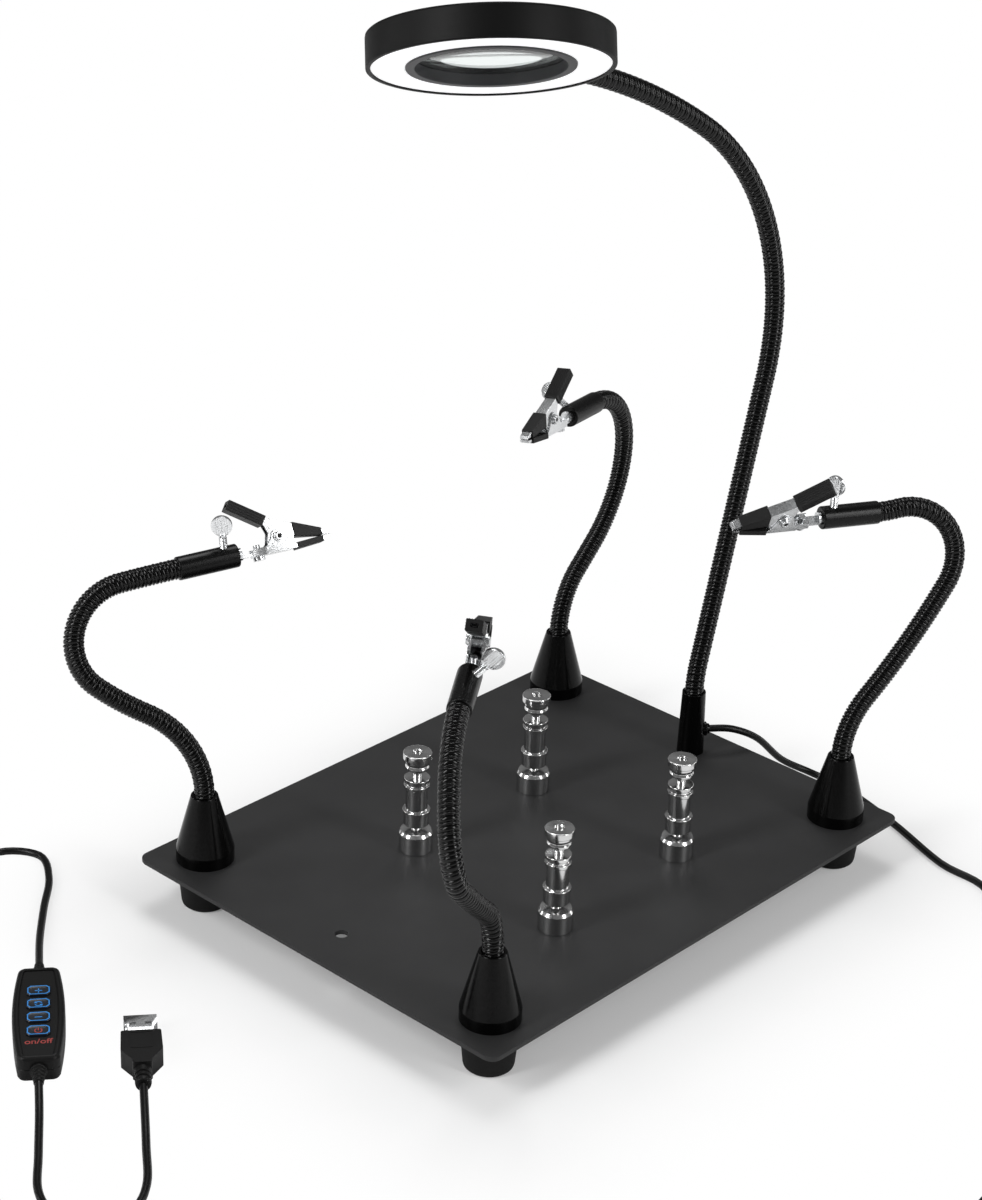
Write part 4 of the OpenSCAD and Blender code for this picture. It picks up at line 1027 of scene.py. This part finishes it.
def add_controller():
    mid = CASE_T / 2
    shell = loft_bmesh([case_ring(inset, z) for inset, z in (
        (1.6, 0), (0.6, 0.25), (0.1, 1.1), (0, mid - 0.2), (0.18, mid), (0, mid + 0.2),
        (0, CASE_T - 1.5), (0.35, CASE_T - 0.6), (1, CASE_T - 0.1), (1.7, CASE_T), (2.15, CASE_T - 0.1),
        (2.25, CASE_T - 0.75), (2.5, CASE_T - 0.75), (2.6, CASE_T - 0.5),
    )])
    for side in (1, -1):
        join_bmesh(shell, relief_bmesh(), move(y=side * CASE_LEN / 2, z=mid) @ turn_about("X", -90 * side))
    add_piece("case_shell", finish_mesh("case_shell", shell, AT_CASE), "base", "case_black",
              ["controller_case"])
    for index, name in enumerate(BUTTONS):
        add_button(index, name)
    add_lettering()


GRIP_W, GRIP_LEN, GRIP_RELIEF = 15, 19.5, 8.5
SHELL_T, SHELL_OUT = 4.5, 11.7
PANEL_W, PANEL_LEN, PANEL_OUT = 8.4, 9.5, 13.25
TONGUE_HALF, CONTACT_HALF = 5.3, 0.5


def add_plug():
    """The moulded grip with its shoulders and ribbed neck, and the plug's shell."""
    start, half, top = GRIP_RELIEF, GRIP_W / 2, GRIP_T / 2
    waist = half - 4
    outline = [(-waist, start), (-waist, start + 2), (-half, start + 8), (-half + 0.3, start + GRIP_LEN),
               (half - 0.3, start + GRIP_LEN), (half, start + 8), (waist, start + 2), (waist, start)]
    bm = prism_bmesh(rounded(outline, 0.8), -top, top, 0.9, 3)
    neck = [(0, 0), (2.7, 0, 0.4)]
    for y in (1.6, 4.2):
        neck += [(3, y, 0.1), (2.3, y + 0.2, 0.1), (2.3, y + 1.2, 0.1), (3, y + 1.4, 0.1)]
    neck += [(3.2, start + 1), (0, start + 1)]
    join_bmesh(bm, lathe_bmesh(rounded(neck, 0.1), 40), turn_about("X", -90))
    middle = start + PANEL_OUT
    panel = rectangle(PANEL_W, PANEL_LEN, middle)
    inner = [(x * 0.95, middle + (y - middle) * 0.955) for x, y in panel]
    join_bmesh(bm, frame_bmesh(rounded(panel, 1), rounded(inner, 0.8), top - 0.1, top + 0.12))
    add_piece("plug_body", finish_mesh("plug_body", bm, AT_PLUG), "base", "case_black", ["plug_grip"])
    dress("plug_shell", "base", "plug_steel", 0.12)
    mouth = start + GRIP_LEN
    tongue = box_bmesh((-TONGUE_HALF, mouth - 1, -SHELL_T / 2 + 0.4),
                       (TONGUE_HALF, mouth + SHELL_OUT - 1.2, -0.3), 0.15)
    add_piece("plug_tongue", finish_mesh("tongue", tongue, AT_PLUG), "base", "case_black",
              finish="sleeve_vinyl")
    bm = bmesh.new()
    for x in (-3.5, -1, 1, 3.5):
        join_bmesh(bm, box_bmesh((x - CONTACT_HALF, mouth, -0.32),
                                 (x + CONTACT_HALF, mouth + SHELL_OUT - 2, -0.22), 0.03))
    add_piece("plug_contacts", finish_mesh("contacts", bm, AT_PLUG), "base", "plug_steel",
              finish="contact_gold")


add_controller()
add_plug()

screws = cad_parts["foot_screws"]
screws.data.materials.clear()
screws.data.materials.append(MATERIALS["screw_steel"])

CASE_PIECES = ["case_shell", "words"]
CASE_PIECES += [name + part for name in BUTTONS for part in ("_key", "_key_edge", "_key_sign")]

# ---------------------------------------------------------------- floor, light and world

FLOOR_SIZE = 6.0
PAINTED_SHADE_REACH = 75                     # how far past the plate the glow fades in, painting shade round the plate over its real shadow
WORLD_LIGHT, BACKGROUND = 0.16, 1.02  # brightness as a light, and as seen behind the object
LIGHT_TARGET = Vector((0, 0, 0.1))
SOFTBOXES = {
    "key": ((-1.5, 0.3, 1.1), (0.35, 1.4), 20),
    "fill": ((0.2, -1.6, 0.9), (0.35, 1.4), 16),
    "top": ((0.6, 0.6, 1.8), (0.9, 0.9), 12),
    "left_strip": ((-0.9, 1.3, 0.5), (0.15, 1.2), 4),
    "right_strip": ((1.4, -0.7, 0.5), (0.15, 1.2), 4),
}


def seen_directly(tree):
    """1 for a ray from the camera, also through glass."""
    path = add_node(tree, "ShaderNodeLightPath")
    larger = add_node(tree, "ShaderNodeMath", operation="MAXIMUM")
    tree.links.new(path.outputs["Is Camera Ray"], larger.inputs[0])
    tree.links.new(path.outputs["Is Transmission Ray"], larger.inputs[1])
    return larger.outputs[0]


def glow_share_with_painted_shade(tree):
    """How much of the floor is plain white glow: little under the plate, and more with the distance from
    it; the fade paints shade round the plate over its real shadow.
    """
    here = add_node(tree, "ShaderNodeTexCoord").outputs["Object"]
    half_plate = (PLATE_W / 2 * MM, PLATE_D / 2 * MM, 0)
    for operation, other in (("ABSOLUTE", {}), ("SUBTRACT", {1: half_plate}), ("MAXIMUM", {1: (0, 0, 0)})):
        step = add_node(tree, "ShaderNodeVectorMath", other, operation=operation)
        tree.links.new(here, step.inputs[0])
        here = step.outputs["Vector"]
    distance = add_node(tree, "ShaderNodeVectorMath", operation="LENGTH")
    tree.links.new(here, distance.inputs[0])
    limits = {"From Min": -PAINTED_SHADE_REACH * MM / 3, "From Max": PAINTED_SHADE_REACH * MM}
    share = add_node(tree, "ShaderNodeMapRange", limits, interpolation_type="SMOOTHSTEP")
    tree.links.new(distance.outputs["Value"], share.inputs["Value"])
    return share.outputs["Result"]


def floor_material():
    """A pale grey that turns to plain white glow away from the plate, for rays from the camera, which
    paints shade round the plate over its real shadow.
    """
    material = bpy.data.materials.new("floor")
    material.use_nodes = True
    tree = material.node_tree
    shader = shader_of(material)
    set_inputs(shader, {"Base Color": (0.9, 0.9, 0.9, 1), "Roughness": 0.9})
    glow = add_node(tree, "ShaderNodeEmission")
    mix = add_node(tree, "ShaderNodeMixShader")
    share = add_node(tree, "ShaderNodeMath", operation="MULTIPLY")
    tree.links.new(seen_directly(tree), share.inputs[0])
    tree.links.new(glow_share_with_painted_shade(tree), share.inputs[1])
    tree.links.new(share.outputs[0], mix.inputs["Fac"])
    tree.links.new(shader.outputs["BSDF"], mix.inputs[1])
    tree.links.new(glow.outputs["Emission"], mix.inputs[2])
    tree.links.new(mix.outputs["Shader"], tree.nodes["Material Output"].inputs["Surface"])
    return material


def add_floor():
    bm = bmesh.new()
    bmesh.ops.create_grid(bm, x_segments=1, y_segments=1, size=FLOOR_SIZE)
    mesh = bpy.data.meshes.new("floor")
    bm.to_mesh(mesh)
    bm.free()
    mesh.materials.append(floor_material())
    floor = bpy.data.objects.new("floor", mesh)
    floor.location.z = FLOOR_Z * MM
    bpy.context.collection.objects.link(floor)


def add_world():
    world = bpy.data.worlds.new("world")
    bpy.context.scene.world = world
    world.use_nodes = True
    tree = world.node_tree
    back = tree.nodes["Background"]
    set_inputs(back, {"Color": (1, 1, 1, 1)})
    strength = add_node(tree, "ShaderNodeMapRange", {"To Min": WORLD_LIGHT, "To Max": BACKGROUND})
    tree.links.new(seen_directly(tree), strength.inputs["Value"])
    tree.links.new(strength.outputs["Result"], back.inputs["Strength"])


def add_softbox(name, at, size, power):
    data = bpy.data.lights.new(name, "AREA")
    data.shape = "RECTANGLE"
    data.size, data.size_y = size
    data.energy = power
    lamp = bpy.data.objects.new(name, data)
    lamp.location = at
    lamp.rotation_euler = (LIGHT_TARGET - Vector(at)).to_track_quat("-Z", "Y").to_euler()
    bpy.context.collection.objects.link(lamp)


add_floor()
add_world()
for box_name, (box_at, box_size, box_power) in SOFTBOXES.items():
    add_softbox(box_name, box_at, box_size, box_power)
bpy.context.scene.view_settings.view_transform = "Standard"
